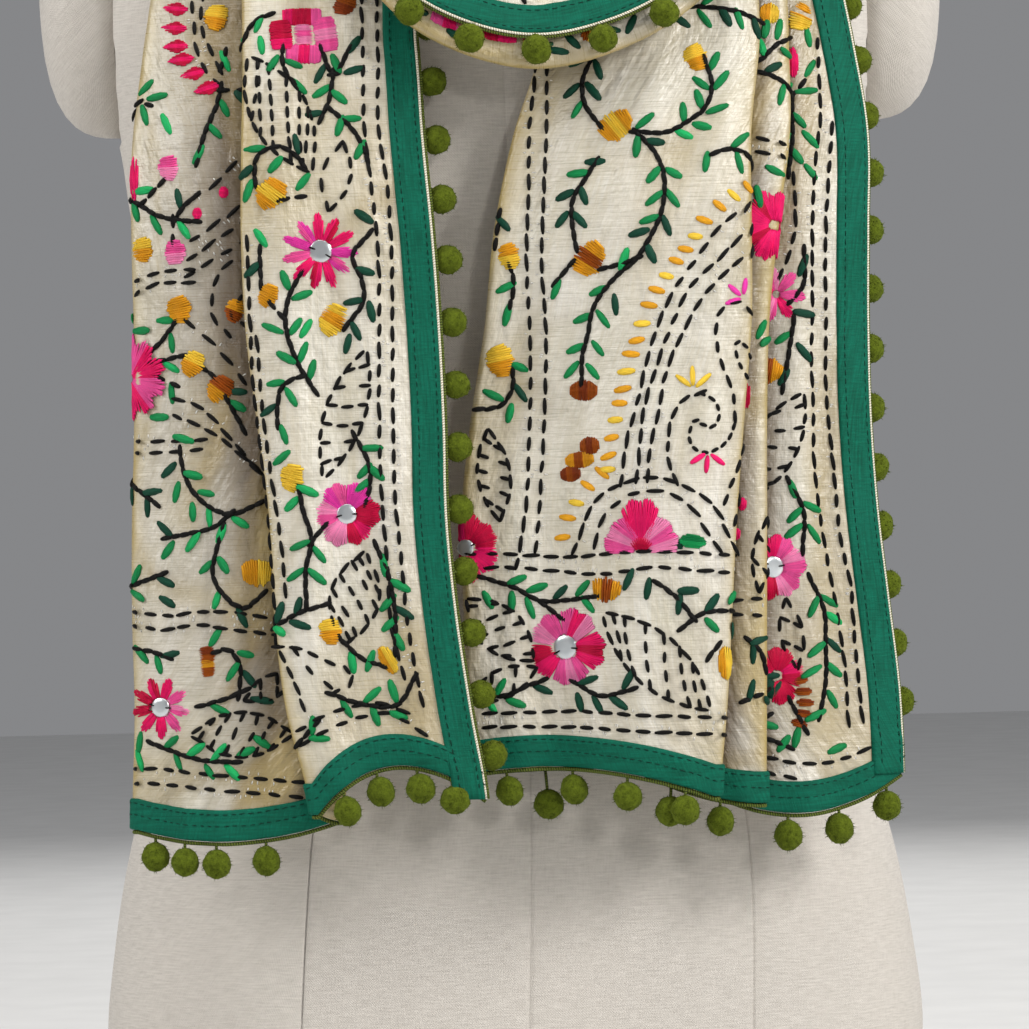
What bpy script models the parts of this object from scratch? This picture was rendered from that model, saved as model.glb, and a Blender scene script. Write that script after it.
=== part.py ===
import math

import bpy
import numpy as np

# Embroidered silk stole worn once round the neck of a limbless dress form.
# Metres, +Z up, the wearer's front faces -Y, +X is the viewer's right.

MM = 0.001

# Driving sizes
CLOTH_WALL = 1.2 * MM
LAYER_STEP = 4.8 * MM
SEAM_GAP = 0.3 * MM
TAPE_WIDTH = 13.5 * MM
TAPE_WALL = 1.0 * MM
STRIP_DEPTH = 1.6 * MM
STRIP_WALL = 1.2 * MM
POMPOM_RADIUS = 6.0 * MM
POMPOM_STEP = 26.0 * MM
BLEND_TOP = 0.46
TILT_CENTRE = 0.12
WRAP_START = 0.09
WRAP_RATE = 4.0
SETTLE_FROM = 0.075
SETTLE_TO = 0.010

FORM_POWER = 2.3
UNDERARM_HEIGHT = 0.489
ARMHOLE_X = 0.166
CAP_OUT = 0.0355
CAP_HALF_HEIGHT = 0.070
CAP_HALF_DEPTH = 0.052
CAP_CENTRE_HEIGHT = 0.5635
BUST_HEIGHT = 0.455
BUST_X = 0.080
BUST_SWELL = 0.012
BUST_SPREAD = 0.045
NECK_CAP_THICKNESS = 0.008

# Torso of the form, in mm: a row for each level
TORSO_COLUMNS = ("height", "half_width", "front", "back")
TORSO_ROWS = (
    (0, 163, 98, 102),
    (5, 168, 102, 106),
    (45, 177, 109, 115),
    (88, 183, 112, 122),
    (130, 179, 110, 121),
    (165, 173, 107, 116),
    (200, 164, 101, 108),
    (240, 150, 94, 95),
    (288, 137, 88, 83),
    (330, 140, 93, 87),
    (380, 149, 105, 95),
    (430, 159, 118, 102),
    (460, 164, 123, 106),
    (489, 168, 121, 109),
    (530, 182, 112, 112),
    (570, 186, 99, 112),
    (605, 185, 84, 107),
    (628, 178, 73, 100),
    (640, 165, 67, 95),
    (652, 138, 62, 88),
    (666, 106, 58, 79),
    (680, 80, 55, 69),
    (698, 64, 53, 60),
    (730, 58, 50, 55),
    (765, 56, 49, 53),
)

# Where the deepest layer of a hanging end runs, in mm and degrees: from the hem up over the shoulder
PATH_COLUMNS = ("height", "depth", "lean", "tilt")
PATH_ROWS = (
    (170, -134, 0, 0.0),
    (300, -137, 0, 0.0),
    (400, -138, 0, 0.0),
    (460, -138, 0, 0.0),
    (500, -131, 0, 0.0),
    (530, -122, 0, 0.0),
    (556, -112, 0, 0.0),
    (580, -102, 8, 0.04),
    (604, -89, 18, 0.10),
    (626, -75, 30, 0.20),
    (642, -61, 45, 0.30),
    (655, -43, 60, 0.38),
    (664, -22, 75, 0.44),
    (668, 0, 90, 0.46),
)

# Folds of the left end seen from above, in mm at each height
LEFT_COLUMNS = ("height", "border_edge", "front_fold", "inner_fold", "outer_fold", "hidden_edge")
LEFT_ROWS = (
    (170, -9, -81, -70, -162, -96),
    (200, -10, -84, -70, -161, -96),
    (240, -16, -93, -62, -159, -96),
    (280, -21, -97, -54, -159, -96),
    (320, -24, -98, -49, -158, -97),
    (360, -24, -102, -46, -156, -98),
    (400, -25, -106, -48, -155, -98),
    (440, -27, -107, -50, -155, -98),
    (480, -30, -106, -52, -154, -98),
    (520, -32, -105, -55, -149, -98),
    (560, -36, -107, -62, -144, -100),
    (600, -68, -122, -86, -146, -108),
    (625, -90, -134, -102, -149, -114),
    (645, -98, -140, -108, -152, -118),
    (668, -100, -142, -110, -154, -120),
)
LEFT_LAYERS = (0, 1, 2, 3)

# Folds of the right end seen from above, in mm at each height
RIGHT_COLUMNS = ("height", "hidden_edge", "left_fold", "right_fold", "inner_fold",
                 "pleat_fold", "deep_fold", "border_edge")
RIGHT_ROWS = (
    (170, 36, -8, 88, 58, 109, 86, 169),
    (200, 36, -10, 89, 58, 109, 86, 169),
    (240, 36, -16, 93, 60, 110, 86, 168),
    (280, 36, -17, 96, 62, 111, 88, 164),
    (320, 36, -17, 99, 64, 112, 88, 160),
    (360, 38, -12, 103, 66, 113, 88, 158),
    (400, 40, -5, 107, 68, 115, 90, 158),
    (440, 42, 0, 108, 70, 120, 92, 159),
    (480, 46, 9, 109, 72, 126, 94, 160),
    (520, 50, 22, 114, 74, 127, 94, 155),
    (560, 52, 24, 115, 78, 128, 96, 149),
    (600, 70, 50, 126, 92, 136, 108, 147),
    (640, 98, 87, 136, 108, 142, 120, 148),
    (668, 104, 92, 138, 112, 143, 122, 148),
)
RIGHT_LAYERS = (1, 0, 1, 2, 3, 4)

# Height of the hem along each run of cloth, in mm
HEM_COLUMNS = ("start", "middle", "end")
LEFT_HEM_ROWS = (
    (200, 215, 195),
    (195, 193, 192),
    (192, 184, 189),
    (189, 190, 192),
)
RIGHT_HEM_ROWS = (
    (212, 212, 211),
    (211, 211, 199),
    (199, 205, 208),
    (208, 199, 195),
    (195, 196, 199),
    (199, 190, 205),
)

# Soft folds standing out of a run: place along the run, half width, height in mm, slant for each metre up
SOFT_COLUMNS = ("run", "place", "half_width", "height", "slant")
LEFT_SOFT_ROWS = (
    (0, 0.34, 0.16, 3.0, 0.5),
    (0, 0.82, 0.12, 3.2, -0.1),
    (2, 0.40, 0.08, -1.8, 0.2),
    (2, 0.64, 0.06, 2.6, 0.4),
    (2, 0.78, 0.06, 3.0, 0.2),
    (2, 0.92, 0.05, 2.2, 0.0),
)
RIGHT_SOFT_ROWS = (
    (1, 0.22, 0.12, 2.4, 0.2),
    (1, 0.58, 0.16, 3.2, -0.3),
    (1, 0.90, 0.08, 2.4, 0.1),
    (3, 0.85, 0.12, 1.2, 0.0),
    (5, 0.55, 0.10, 2.4, 0.2),
    (5, 0.80, 0.08, 2.2, -0.1),
)

# Bundle stations, in mm: base point, direction across, direction through the layers, folds across
BUNDLE_COLUMNS = ("base", "across", "through", "folds")
INNER_PASS_ROWS = (
    ((-79, 0, 692), (0, 0, 1), (1, 0, 0), (6, 50, 0, 56, 4)),
    ((-72, 33, 690), (0, 0, 1), (0.9, -0.4, 0), (6, 50, 0, 56, 4)),
    ((-56, 58, 690), (0, 0, 1), (0.7, -0.7, 0), (6, 50, 0, 56, 4)),
    ((-30, 75, 690), (0, 0, 1), (0.35, -0.93, 0), (6, 50, 0, 56, 4)),
    ((0, 80, 690), (0, 0.05, 1), (0, -1, 0.05), (6, 50, 0, 56, 4)),
    ((40, 85, 685), (-0.2, -0.2, 0.95), (-0.35, -0.85, -0.3), (6, 50, 0, 56, 4)),
    ((84, 82, 671), (-0.53, -0.53, 0.66), (-0.47, -0.47, -0.75), (5, 50, 0, 56, 4)),
    ((125, 48, 664), (-0.8, -0.3, 0.52), (-0.35, -0.15, -0.92), (4, 50, 0, 56, 4)),
    ((147, 0, 666), (-1, 0, 0.46), (0, 0, -1), (4, 50, 0, 56, 4)),
)
OUTER_PASS_ROWS = (
    ((-100, 0, 684.4), (-1, 0, -0.46), (0, 0, 1), (0, 42, 10, 54, 20)),
    ((-90, 36, 685), (-0.85, 0.3, 0.25), (0.3, -0.1, 0.95), (0, 45, 7, 56, 16)),
    ((-70, 70, 688), (-0.5, 0.5, 0.7), (0.5, -0.5, 0.7), (0, 48, 5, 57, 12)),
    ((-38, 91, 690), (-0.15, 0.25, 0.95), (0.3, -0.9, 0.25), (0, 50, 3, 57, 8)),
    ((0, 98, 690), (0, 0.05, 1), (0, -1, 0.05), (0, 50, 2, 57, 6)),
    ((46, 101, 689), (-0.2, -0.2, 0.95), (-0.35, -0.85, -0.3), (2, 50, 0, 57, 5)),
    ((95, 92, 686), (-0.53, -0.53, 0.66), (-0.47, -0.47, -0.75), (3, 50, 0, 57, 4)),
    ((134, 51, 685), (-0.8, -0.3, 0.52), (-0.35, -0.15, -0.92), (4, 50, 0, 57, 4)),
    ((151, 0, 688), (-1, 0, 0.46), (0, 0, -1), (4, 50, 0, 57, 4)),
)
COWL_ROWS = (
    ((151, 0, 688), (-1, 0, 0.46), (0, 0, -1), (4, 50, 0, 57, 4)),
    ((149, -42, 682), (-0.95, 0.05, 0.42), (0, 0.45, -0.9), (5, 51, -1, 58, 4)),
    ((143, -84, 656), (-0.9, 0.05, 0.43), (0, 0.75, -0.66), (7, 53, -3, 60, 3)),
    ((130, -115, 612), (-0.82, 0.1, 0.56), (-0.1, 0.93, -0.35), (10, 55, -6, 62, 2)),
    ((100, -141, 560), (-0.6, 0.2, 0.78), (-0.1, 0.98, -0.2), (14, 57, -9, 65, 0)),
    ((60, -157, 529), (-0.35, 0.3, 0.9), (-0.05, 0.97, -0.25), (17, 58, -11, 68, 0)),
    ((18, -161, 519), (0.0, 0.35, 0.94), (0, 0.95, -0.3), (18, 58, -12, 68, 0)),
    ((-22, -156, 532), (0.35, 0.3, 0.88), (0.05, 0.96, -0.25), (17, 58, -11, 66, 0)),
    ((-56, -141, 566), (0.62, 0.22, 0.74), (0.1, 0.97, -0.2), (14, 56, -8, 63, 0)),
    ((-80, -112, 616), (0.62, 0.2, 0.76), (0.3, 0.9, -0.3), (10, 53, -4, 60, 2)),
    ((-84, -60, 668), (0.3, 0.05, 0.95), (0.8, 0.55, -0.25), (7, 51, -1, 58, 4)),
    ((-79, 0, 692), (0, 0, 1), (1, 0, 0), (6, 50, 0, 56, 4)),
)
BUNDLE_LAYERS = (0, 1, 2, 3)

BACKWARD = (0.0, 1.0, 0.0)
FORWARD = (0.0, -1.0, 0.0)
RUN_SAMPLES = 3
ARC_STEPS = 3


def clear_scene():
    for item in list(bpy.data.objects):
        bpy.data.objects.remove(item, do_unlink=True)


def smooth_table(x, xs, ys):
    # cubic curve through the rows, with slopes from the neighbouring rows
    xs = np.asarray(xs, dtype=float)
    ys = np.asarray(ys, dtype=float)
    x = min(max(float(x), xs[0]), xs[-1])
    i = int(min(max(np.searchsorted(xs, x) - 1, 0), len(xs) - 2))
    slopes = np.gradient(ys, xs, axis=0)
    step = xs[i + 1] - xs[i]
    t = (x - xs[i]) / step
    a = (2 * t ** 3 - 3 * t ** 2 + 1) * ys[i]
    b = (t ** 3 - 2 * t ** 2 + t) * step * slopes[i]
    c = (-2 * t ** 3 + 3 * t ** 2) * ys[i + 1]
    d = (t ** 3 - t ** 2) * step * slopes[i + 1]
    return a + b + c + d


def unit(vector):
    vector = np.asarray(vector, dtype=float)
    return vector / np.linalg.norm(vector)


def torso_level(height):
    rows = np.array(TORSO_ROWS, dtype=float)
    return [smooth_table(height / MM, rows[:, 0], rows[:, i]) * MM for i in (1, 2, 3)]


def torso_ring(height, count):
    half_width, front, back = torso_level(height)
    ring = []
    for i in range(count):
        angle = 2 * math.pi * i / count
        c, s = math.cos(angle), math.sin(angle)
        x = half_width * math.copysign(abs(c) ** (2 / FORM_POWER), c)
        depth = front if s < 0 else back
        y = depth * math.copysign(abs(s) ** (2 / FORM_POWER), s)
        if s < 0:
            up = math.exp(-((height - BUST_HEIGHT) / BUST_SPREAD) ** 2)
            side = math.exp(-((abs(x) - BUST_X) / BUST_SPREAD) ** 2)
            y -= BUST_SWELL * up * side * min(1.0, 2.0 * abs(s))
        if height > UNDERARM_HEIGHT:
            x = max(-ARMHOLE_X, min(ARMHOLE_X, x))
        ring.append((x, y, height))
    return ring


def column_list(run_count, taped_run, taped_at_start):
    # the places along a folded section: along each run, and round each fold
    columns = []
    for run in range(run_count):
        if run > 0:
            for step in range(ARC_STEPS + 1):
                columns.append(("arc", run, math.pi * step / ARC_STEPS))
        taped = run == taped_run
        if taped and taped_at_start:
            columns.append(("edge", run, 0.0))
            columns.append(("tape_start", run, 0.0))
            columns += [("tape_start", run, g) for g in (0.35, 0.7)]
        elif taped:
            columns += [("tape_end", run, g) for g in (0.3, 0.65, 1.0)]
            columns.append(("edge", run, 1.0))
        else:
            if run == 0:
                columns.append(("edge", run, 0.0))
            columns += [("run", run, (i + 1) / (RUN_SAMPLES + 1)) for i in range(RUN_SAMPLES)]
            if run == run_count - 1:
                columns.append(("edge", run, 1.0))
    return columns


def section_place(column, folds, layers, soft, height):
    # across and through positions of one column, from the fold positions at this height
    kind, run, value = column
    radius = LAYER_STEP / 2
    deepest = max(layers)
    depth = [(deepest - layer) * LAYER_STEP for layer in layers]
    last = len(layers) - 1
    if kind == "arc":
        way = math.copysign(1.0, folds[run] - folds[run - 1])
        middle = (depth[run - 1] + depth[run]) / 2
        half = (depth[run - 1] - depth[run]) / 2
        across = folds[run] - way * radius + way * radius * math.sin(value)
        return across, middle + half * math.cos(value)
    way = math.copysign(1.0, folds[run + 1] - folds[run])
    start = folds[run] + (way * radius if run > 0 else 0.0)
    end = folds[run + 1] - (way * radius if run < last else 0.0)
    taped = TAPE_WIDTH / abs(end - start)
    if kind == "tape_start":
        place = taped + (1 - taped) * value
    elif kind == "tape_end":
        place = (1 - taped) * value
    else:
        place = value
    swell = 0.0
    for soft_run, centre, half_width, rise, slant in soft:
        if soft_run == run:
            middle = centre + slant * (height - 0.35)
            swell += rise * MM * math.exp(-((place - middle) / half_width) ** 2)
    fade = min(1.0, max(0.0, (0.60 - height) / 0.06)) * min(1.0, 8 * place * (1 - place))
    return start + (end - start) * place, depth[run] + swell * fade


def ramp(start, end, value):
    t = min(1.0, max(0.0, (value - start) / (end - start)))
    return t * t * (3 - 2 * t)


def no_settle(height):
    return 0.0


def right_settle(height):
    # nearer the middle the right end has fewer layers under it and lies back towards the form
    return (14.0 + 8.0 * ramp(0.45, 0.35, height)) * MM * ramp(0.62, 0.56, height)


def path_place(height):
    rows = np.array(PATH_ROWS, dtype=float)
    return [smooth_table(height / MM, rows[:, 0], rows[:, i]) for i in (1, 2, 3)]


def hanging_point(across, through, height, settle):
    depth, lean, tilt = path_place(height)
    lean = math.radians(lean)
    wrap = WRAP_RATE * max(0.0, abs(across) - WRAP_START) ** 2 * math.cos(lean) ** 2
    wrap += settle(height) * ramp(SETTLE_FROM, SETTLE_TO, across)
    y = depth * MM + wrap - through * math.cos(lean)
    z = height + through * math.sin(lean) - tilt * (abs(across) - TILT_CENTRE)
    return (across, y, z)


def hem_height(column, hem_rows):
    kind, run, value = column
    if kind == "arc":
        return hem_rows[run][0] * MM
    start, middle, end = hem_rows[run]
    f = value
    if kind == "tape_start":
        f = 0.18 + 0.82 * value
    elif kind == "tape_end":
        f = 0.82 * value
    low = start * (f - 0.5) * (f - 1) * 2 + middle * 4 * f * (1 - f) + end * f * (f - 0.5) * 2
    return low * MM


def hanging_grid(rows_table, layers, hem_rows, soft, columns, settle):
    # rows run from the hem to the shoulder, columns across the folded cloth
    table = np.array(rows_table, dtype=float)
    grid = []
    levels = [("up", 0.0), ("up", TAPE_WIDTH), ("up", TAPE_WIDTH + SEAM_GAP)]
    levels += [("share", s) for s in (0.2, 0.36, 0.52, 0.68, 0.84, 1.0)]
    levels += [("height", h * MM) for h in (495, 527, 556, 582, 606, 627, 643, 656, 664, 668)]
    for kind, value in levels:
        line = []
        for column in columns:
            low = hem_height(column, hem_rows)
            if kind == "up":
                height = low + value
            elif kind == "share":
                height = low + (BLEND_TOP - low) * value
            else:
                height = value
            folds = smooth_table(height / MM, table[:, 0], table[:, 1:]) * MM
            across, through = section_place(column, folds, layers, soft, height)
            line.append(hanging_point(across, through, height, settle))
        grid.append(line)
    return np.array(grid)


def bundle_grid(rows, steps, columns, trim_start, trim_end):
    # a folded bundle swept through its stations; the ends stand back by the seam gap
    base = np.array([row[0] for row in rows], dtype=float) * MM
    across = np.array([unit(row[1]) * np.linalg.norm(row[1]) for row in rows])
    through = np.array([row[2] for row in rows], dtype=float)
    folds = np.array([row[3] for row in rows], dtype=float) * MM
    lengths = np.linalg.norm(np.diff(base, axis=0), axis=1)
    way = np.concatenate([[0.0], np.cumsum(lengths)])
    grid = []
    for i in range(steps + 1):
        s = trim_start + (way[-1] - trim_start - trim_end) * i / steps
        origin = smooth_table(s, way, base)
        u = smooth_table(s, way, across)
        n = smooth_table(s, way, through)
        knots = smooth_table(s, way, folds)
        line = []
        for column in columns:
            a, b = section_place(column, knots, BUNDLE_LAYERS, (), 1.0)
            line.append(origin + u * a + n * (b - 1.5 * LAYER_STEP))
        grid.append(line)
    return np.array(grid)


def grid_normals(grid, first_way=None, last_way=None):
    # directions square to the cloth, lengthened a little at bends so the wall keeps its thickness
    rows, cols, _ = grid.shape
    normals = np.zeros_like(grid)
    for i in range(rows):
        along = grid[min(i + 1, rows - 1)] - grid[max(i - 1, 0)]
        if i == 0 and first_way is not None:
            along = np.tile(first_way, (cols, 1))
        if i == rows - 1 and last_way is not None:
            along = np.tile(last_way, (cols, 1))
        for k in range(cols):
            before = unit(grid[i, k] - grid[i, k - 1]) if k > 0 else unit(grid[i, 1] - grid[i, 0])
            after = unit(grid[i, k + 1] - grid[i, k]) if k < cols - 1 else before
            if k == 0:
                before = after
            tangent = unit(before + after)
            normal = unit(np.cross(tangent, unit(along[k])))
            normals[i, k] = normal / max(0.8, float(np.dot(after, tangent)))
    return normals


def signed_volume(points, faces):
    total = 0.0
    for face in faces:
        for i in range(1, len(face) - 1):
            a, b, c = points[face[0]], points[face[i]], points[face[i + 1]]
            total += float(np.dot(a, np.cross(b, c)))
    return total / 6


def add_object(name, points, faces, material):
    points = [np.asarray(p, dtype=float) for p in points]
    if signed_volume(points, faces) < 0:
        faces = [tuple(reversed(face)) for face in faces]
    mesh = bpy.data.meshes.new(name)
    mesh.from_pydata([tuple(p) for p in points], [], faces)
    mesh.update()
    mesh.materials.append(material)
    item = bpy.data.objects.new(name, mesh)
    bpy.context.scene.collection.objects.link(item)
    return item


def sheet_faces(rows, cols):
    # closed wall from two faces of a grid: the first half of the points is one face
    half = rows * cols
    faces = []
    for i in range(rows - 1):
        for k in range(cols - 1):
            a = i * cols + k
            faces.append((a, a + 1, a + cols + 1, a + cols))
            faces.append((half + a, half + a + cols, half + a + cols + 1, half + a + 1))
    for k in range(cols - 1):
        faces.append((k + 1, k, half + k, half + k + 1))
        top = (rows - 1) * cols + k
        faces.append((top, top + 1, half + top + 1, half + top))
    for i in range(rows - 1):
        a = i * cols
        faces.append((a, a + cols, half + a + cols, half + a))
        b = i * cols + cols - 1
        faces.append((b + cols, b, half + b, half + b + cols))
    return faces


def sheet_solid(name, grid, normals, wall, middle, material):
    # middle is how far the wall's middle stands from the grid
    rows, cols, _ = grid.shape
    one = (grid + normals * (middle + wall / 2)).reshape(-1, 3)
    two = (grid + normals * (middle - wall / 2)).reshape(-1, 3)
    return add_object(name, list(one) + list(two), sheet_faces(rows, cols), material)


def edge_line(grid, normals, face, edge):
    # the points of one edge, the way out of the cloth there, and the facing direction
    if edge == "hem":
        line, inside, facing = grid[0], grid[1], normals[0]
    elif edge == "first":
        line, inside, facing = grid[:, 0], grid[:, 1], normals[:, 0]
    else:
        line, inside, facing = grid[:, -1], grid[:, -2], normals[:, -1]
    out = np.array([unit(a - b) for a, b in zip(line, inside)])
    facing = np.array([unit(n) for n in facing]) * face
    return line, out, facing


def side_hang(point):
    # beside a hanging edge a pompom sits half behind it; over the shoulder it stands straight out
    share = ramp(0.615, 0.58, point[2])
    return 8.2 * MM - 4.4 * MM * share, 6.4 * MM * share


def hem_hang(point):
    return 7.8 * MM, 0.0


def cowl_hang(point):
    return 7.0 * MM, -4.3 * MM


def trim_solid(name, line, out, facing, places, hang, material):
    # a narrow strip just beyond an edge, with a felt pompom grown from it at each place
    lengths = np.linalg.norm(np.diff(line, axis=0), axis=1)
    way = np.concatenate([[0.0], np.cumsum(lengths)])
    half_root = 0.8 * MM
    stops = set(way.tolist())
    roots = {}
    for place in sorted(places):
        nearest = way[int(np.argmin(abs(way - place)))]
        if abs(nearest - place) < 1.5 * half_root:
            place_now = nearest + 1.5 * half_root
        else:
            place_now = place
        stops |= {place_now - half_root, place_now + half_root}
        roots[round(place_now - half_root, 7)] = places[place]
    stops = sorted(stops)
    points, faces = [], []
    for s in stops:
        centre = np.array([np.interp(s, way, line[:, i]) for i in range(3)])
        o = unit([np.interp(s, way, out[:, i]) for i in range(3)])
        f = unit([np.interp(s, way, facing[:, i]) for i in range(3)])
        near = centre + o * SEAM_GAP
        far = centre + o * (SEAM_GAP + STRIP_DEPTH)
        points += [near + f * STRIP_WALL / 2, near - f * STRIP_WALL / 2,
                   far - f * STRIP_WALL / 2, far + f * STRIP_WALL / 2]
    count = len(stops)
    for i in range(count - 1):
        a, b = 4 * i, 4 * i + 4
        for k in range(4):
            n = (k + 1) % 4
            if k == 2 and round(stops[i], 7) in roots:
                continue
            faces.append((a + k, b + k, b + n, a + n))
    faces.append((0, 1, 2, 3))
    last = 4 * (count - 1)
    faces.append((last + 3, last + 2, last + 1, last))
    for i in range(count - 1):
        if round(stops[i], 7) not in roots:
            continue
        a, b = 4 * i, 4 * i + 4
        ring = [a + 2, b + 2, b + 3, a + 3]
        corners = np.array([points[r] for r in ring])
        middle = corners.mean(axis=0)
        o = unit([np.interp(stops[i], way, out[:, j]) for j in range(3)])
        f = unit([np.interp(stops[i], way, facing[:, j]) for j in range(3)])
        fall, back = hang(middle)
        centre = middle + o * (fall + roots[round(stops[i], 7)]) - f * back
        axis = unit(centre - middle)
        side = unit(corners[1] - corners[0] - axis * np.dot(corners[1] - corners[0], axis))
        other = np.cross(axis, side)
        if np.dot(other, corners[2] - corners[1]) < 0:
            other = -other
        for turn in (22, 68, 113, 158):
            polar = math.radians(turn)
            wide = POMPOM_RADIUS * math.sin(polar) * (1.12 if 30 < turn < 150 else 0.75)
            along = centre - axis * POMPOM_RADIUS * math.cos(polar)
            start = len(points)
            for p, q in ((-1, -1), (1, -1), (1, 1), (-1, 1)):
                points.append(along + (side * p + other * q) * wide * math.sqrt(0.5))
            fresh = [start, start + 1, start + 2, start + 3]
            for k in range(4):
                n = (k + 1) % 4
                faces.append((ring[k], ring[n], fresh[n], fresh[k]))
            ring = fresh
        faces.append(tuple(ring))
    return add_object(name, points, faces, material)


def ring_solid(name, rings, material):
    # closed body lofted through rings of equal count
    count = len(rings[0])
    points = [p for ring in rings for p in ring]
    faces = []
    for r in range(len(rings) - 1):
        for k in range(count):
            n = (k + 1) % count
            a, b = r * count, (r + 1) * count
            faces.append((a + k, a + n, b + n, b + k))
    faces.append(tuple(reversed(range(count))))
    top = (len(rings) - 1) * count
    faces.append(tuple(range(top, top + count)))
    return add_object(name, points, faces, material)


def make_material(name, colour, roughness):
    material = bpy.data.materials.new(name)
    material.use_nodes = True
    shader = material.node_tree.nodes["Principled BSDF"]
    shader.inputs["Base Color"].default_value = (*colour, 1.0)
    shader.inputs["Roughness"].default_value = roughness
    return material


def spaced(line, first, last, step):
    # even places along a line, between two shares of its length
    lengths = np.linalg.norm(np.diff(line, axis=0), axis=1)
    total = float(lengths.sum())
    start, end = total * first, total * last
    count = max(1, int(round((end - start) / step)))
    return {start + (end - start) * i / count: 0.0 for i in range(count + 1)}


def hem_places(grid, columns, picks):
    # places along the hem line, from a run and a share of that run
    line = grid[0]
    lengths = np.linalg.norm(np.diff(line, axis=0), axis=1)
    way = np.concatenate([[0.0], np.cumsum(lengths)])
    places = {}
    for run, share, extra in picks:
        starts = [w for column, w in zip(columns, way) if column[0] == "arc" and column[1] == run]
        ends = [w for column, w in zip(columns, way) if column[0] == "arc" and column[1] == run + 1]
        start = starts[-1] if starts else way[0]
        end = ends[0] if ends else way[-1]
        places[start + (end - start) * share] = extra * MM
    return places


clear_scene()

linen = make_material("linen", (0.62, 0.56, 0.50), 0.85)
silk = make_material("silk", (0.78, 0.70, 0.50), 0.45)
tape = make_material("green_tape", (0.012, 0.16, 0.075), 0.6)
felt = make_material("olive_felt", (0.12, 0.16, 0.012), 0.95)

# Dress form
torso_heights = [0.0, 0.005, 0.04, 0.088, 0.13, 0.165, 0.20, 0.24, 0.288, 0.33, 0.37, 0.41, 0.44, 0.465,
                 0.488, 0.4905, 0.53, 0.57, 0.60, 0.62, 0.634, 0.645, 0.655, 0.666, 0.68, 0.695,
                 0.72, 0.765]
ring_solid("form_torso", [torso_ring(h, 36) for h in torso_heights], linen)

for cap_name, way in (("form_cap_left", -1), ("form_cap_right", 1)):
    cap_rings = []
    for turn in (0, 12, 25, 40, 55, 70, 82):
        t = math.radians(turn)
        out = CAP_OUT * math.sin(t) ** (2 / 3)
        share = math.cos(t) ** (2 / 3)
        ring = []
        for i in range(20):
            angle = 2 * math.pi * i / 20
            c, s = math.cos(angle), math.sin(angle)
            ring.append((way * (ARMHOLE_X + SEAM_GAP + out), CAP_HALF_DEPTH * share * c,
                         CAP_CENTRE_HEIGHT + CAP_HALF_HEIGHT * share * s))
        cap_rings.append(ring)
    ring_solid(cap_name, cap_rings, linen)

neck_top = torso_ring(0.765, 24)
neck_rings = []
for lift, share in ((0.0, 0.97), (0.001, 1.0), (0.006, 1.0), (NECK_CAP_THICKNESS, 0.94)):
    neck_rings.append([(x * share, y * share, 0.765 + SEAM_GAP + lift) for x, y, _ in neck_top])
ring_solid("form_neck_cap", neck_rings, linen)

# Left end of the stole
left_columns = column_list(4, 0, True)
left_grid = hanging_grid(LEFT_ROWS, LEFT_LAYERS, LEFT_HEM_ROWS, LEFT_SOFT_ROWS, left_columns, no_settle)
left_normals = -grid_normals(left_grid, None, BACKWARD)
sheet_solid("stole_left_end", left_grid, left_normals, CLOTH_WALL, 0.0, silk)

# Right end of the stole
right_columns = column_list(6, 5, False)
right_grid = hanging_grid(RIGHT_ROWS, RIGHT_LAYERS, RIGHT_HEM_ROWS, RIGHT_SOFT_ROWS, right_columns, right_settle)
right_normals = grid_normals(right_grid, None, BACKWARD)
sheet_solid("stole_right_end", right_grid, right_normals, CLOTH_WALL, 0.0, silk)

# Cowl and the two passes behind the neck
plain_columns = column_list(4, -1, True)
cowl_columns = column_list(4, 3, False)
cowl_grid = bundle_grid(COWL_ROWS, 19, cowl_columns, 0.0, 0.0)
cowl_normals = grid_normals(cowl_grid, FORWARD, BACKWARD)
middle_row = cowl_grid.shape[0] // 2
if cowl_normals[middle_row, -1][1] > 0:
    cowl_normals = -cowl_normals
sheet_solid("stole_cowl", cowl_grid, cowl_normals, CLOTH_WALL, 0.0, silk)
inner_grid = bundle_grid(INNER_PASS_ROWS, 11, plain_columns, 1.4 * SEAM_GAP, 1.4 * SEAM_GAP)
sheet_solid("stole_neck_inner", inner_grid, grid_normals(inner_grid, BACKWARD, FORWARD), CLOTH_WALL, 0.0, silk)
outer_grid = bundle_grid(OUTER_PASS_ROWS, 12, plain_columns, 1.4 * SEAM_GAP, 1.4 * SEAM_GAP)
sheet_solid("stole_neck_outer", outer_grid, grid_normals(outer_grid, BACKWARD, FORWARD), CLOTH_WALL, 0.0, silk)

# Border tape, made from the points of the cloth and moved out
tape_middle = CLOTH_WALL / 2 + SEAM_GAP + TAPE_WALL / 2
sheet_solid("tape_left_hem", left_grid[:2], left_normals[:2], TAPE_WALL, tape_middle, tape)
sheet_solid("tape_left_side", left_grid[2:, :2], left_normals[2:, :2], TAPE_WALL, tape_middle, tape)
sheet_solid("tape_right_hem", right_grid[:2], right_normals[:2], TAPE_WALL, tape_middle, tape)
sheet_solid("tape_right_side", right_grid[2:, -2:], right_normals[2:, -2:], TAPE_WALL, tape_middle, tape)
sheet_solid("tape_cowl", cowl_grid[:, -2:], cowl_normals[:, -2:], TAPE_WALL, tape_middle, tape)

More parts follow.
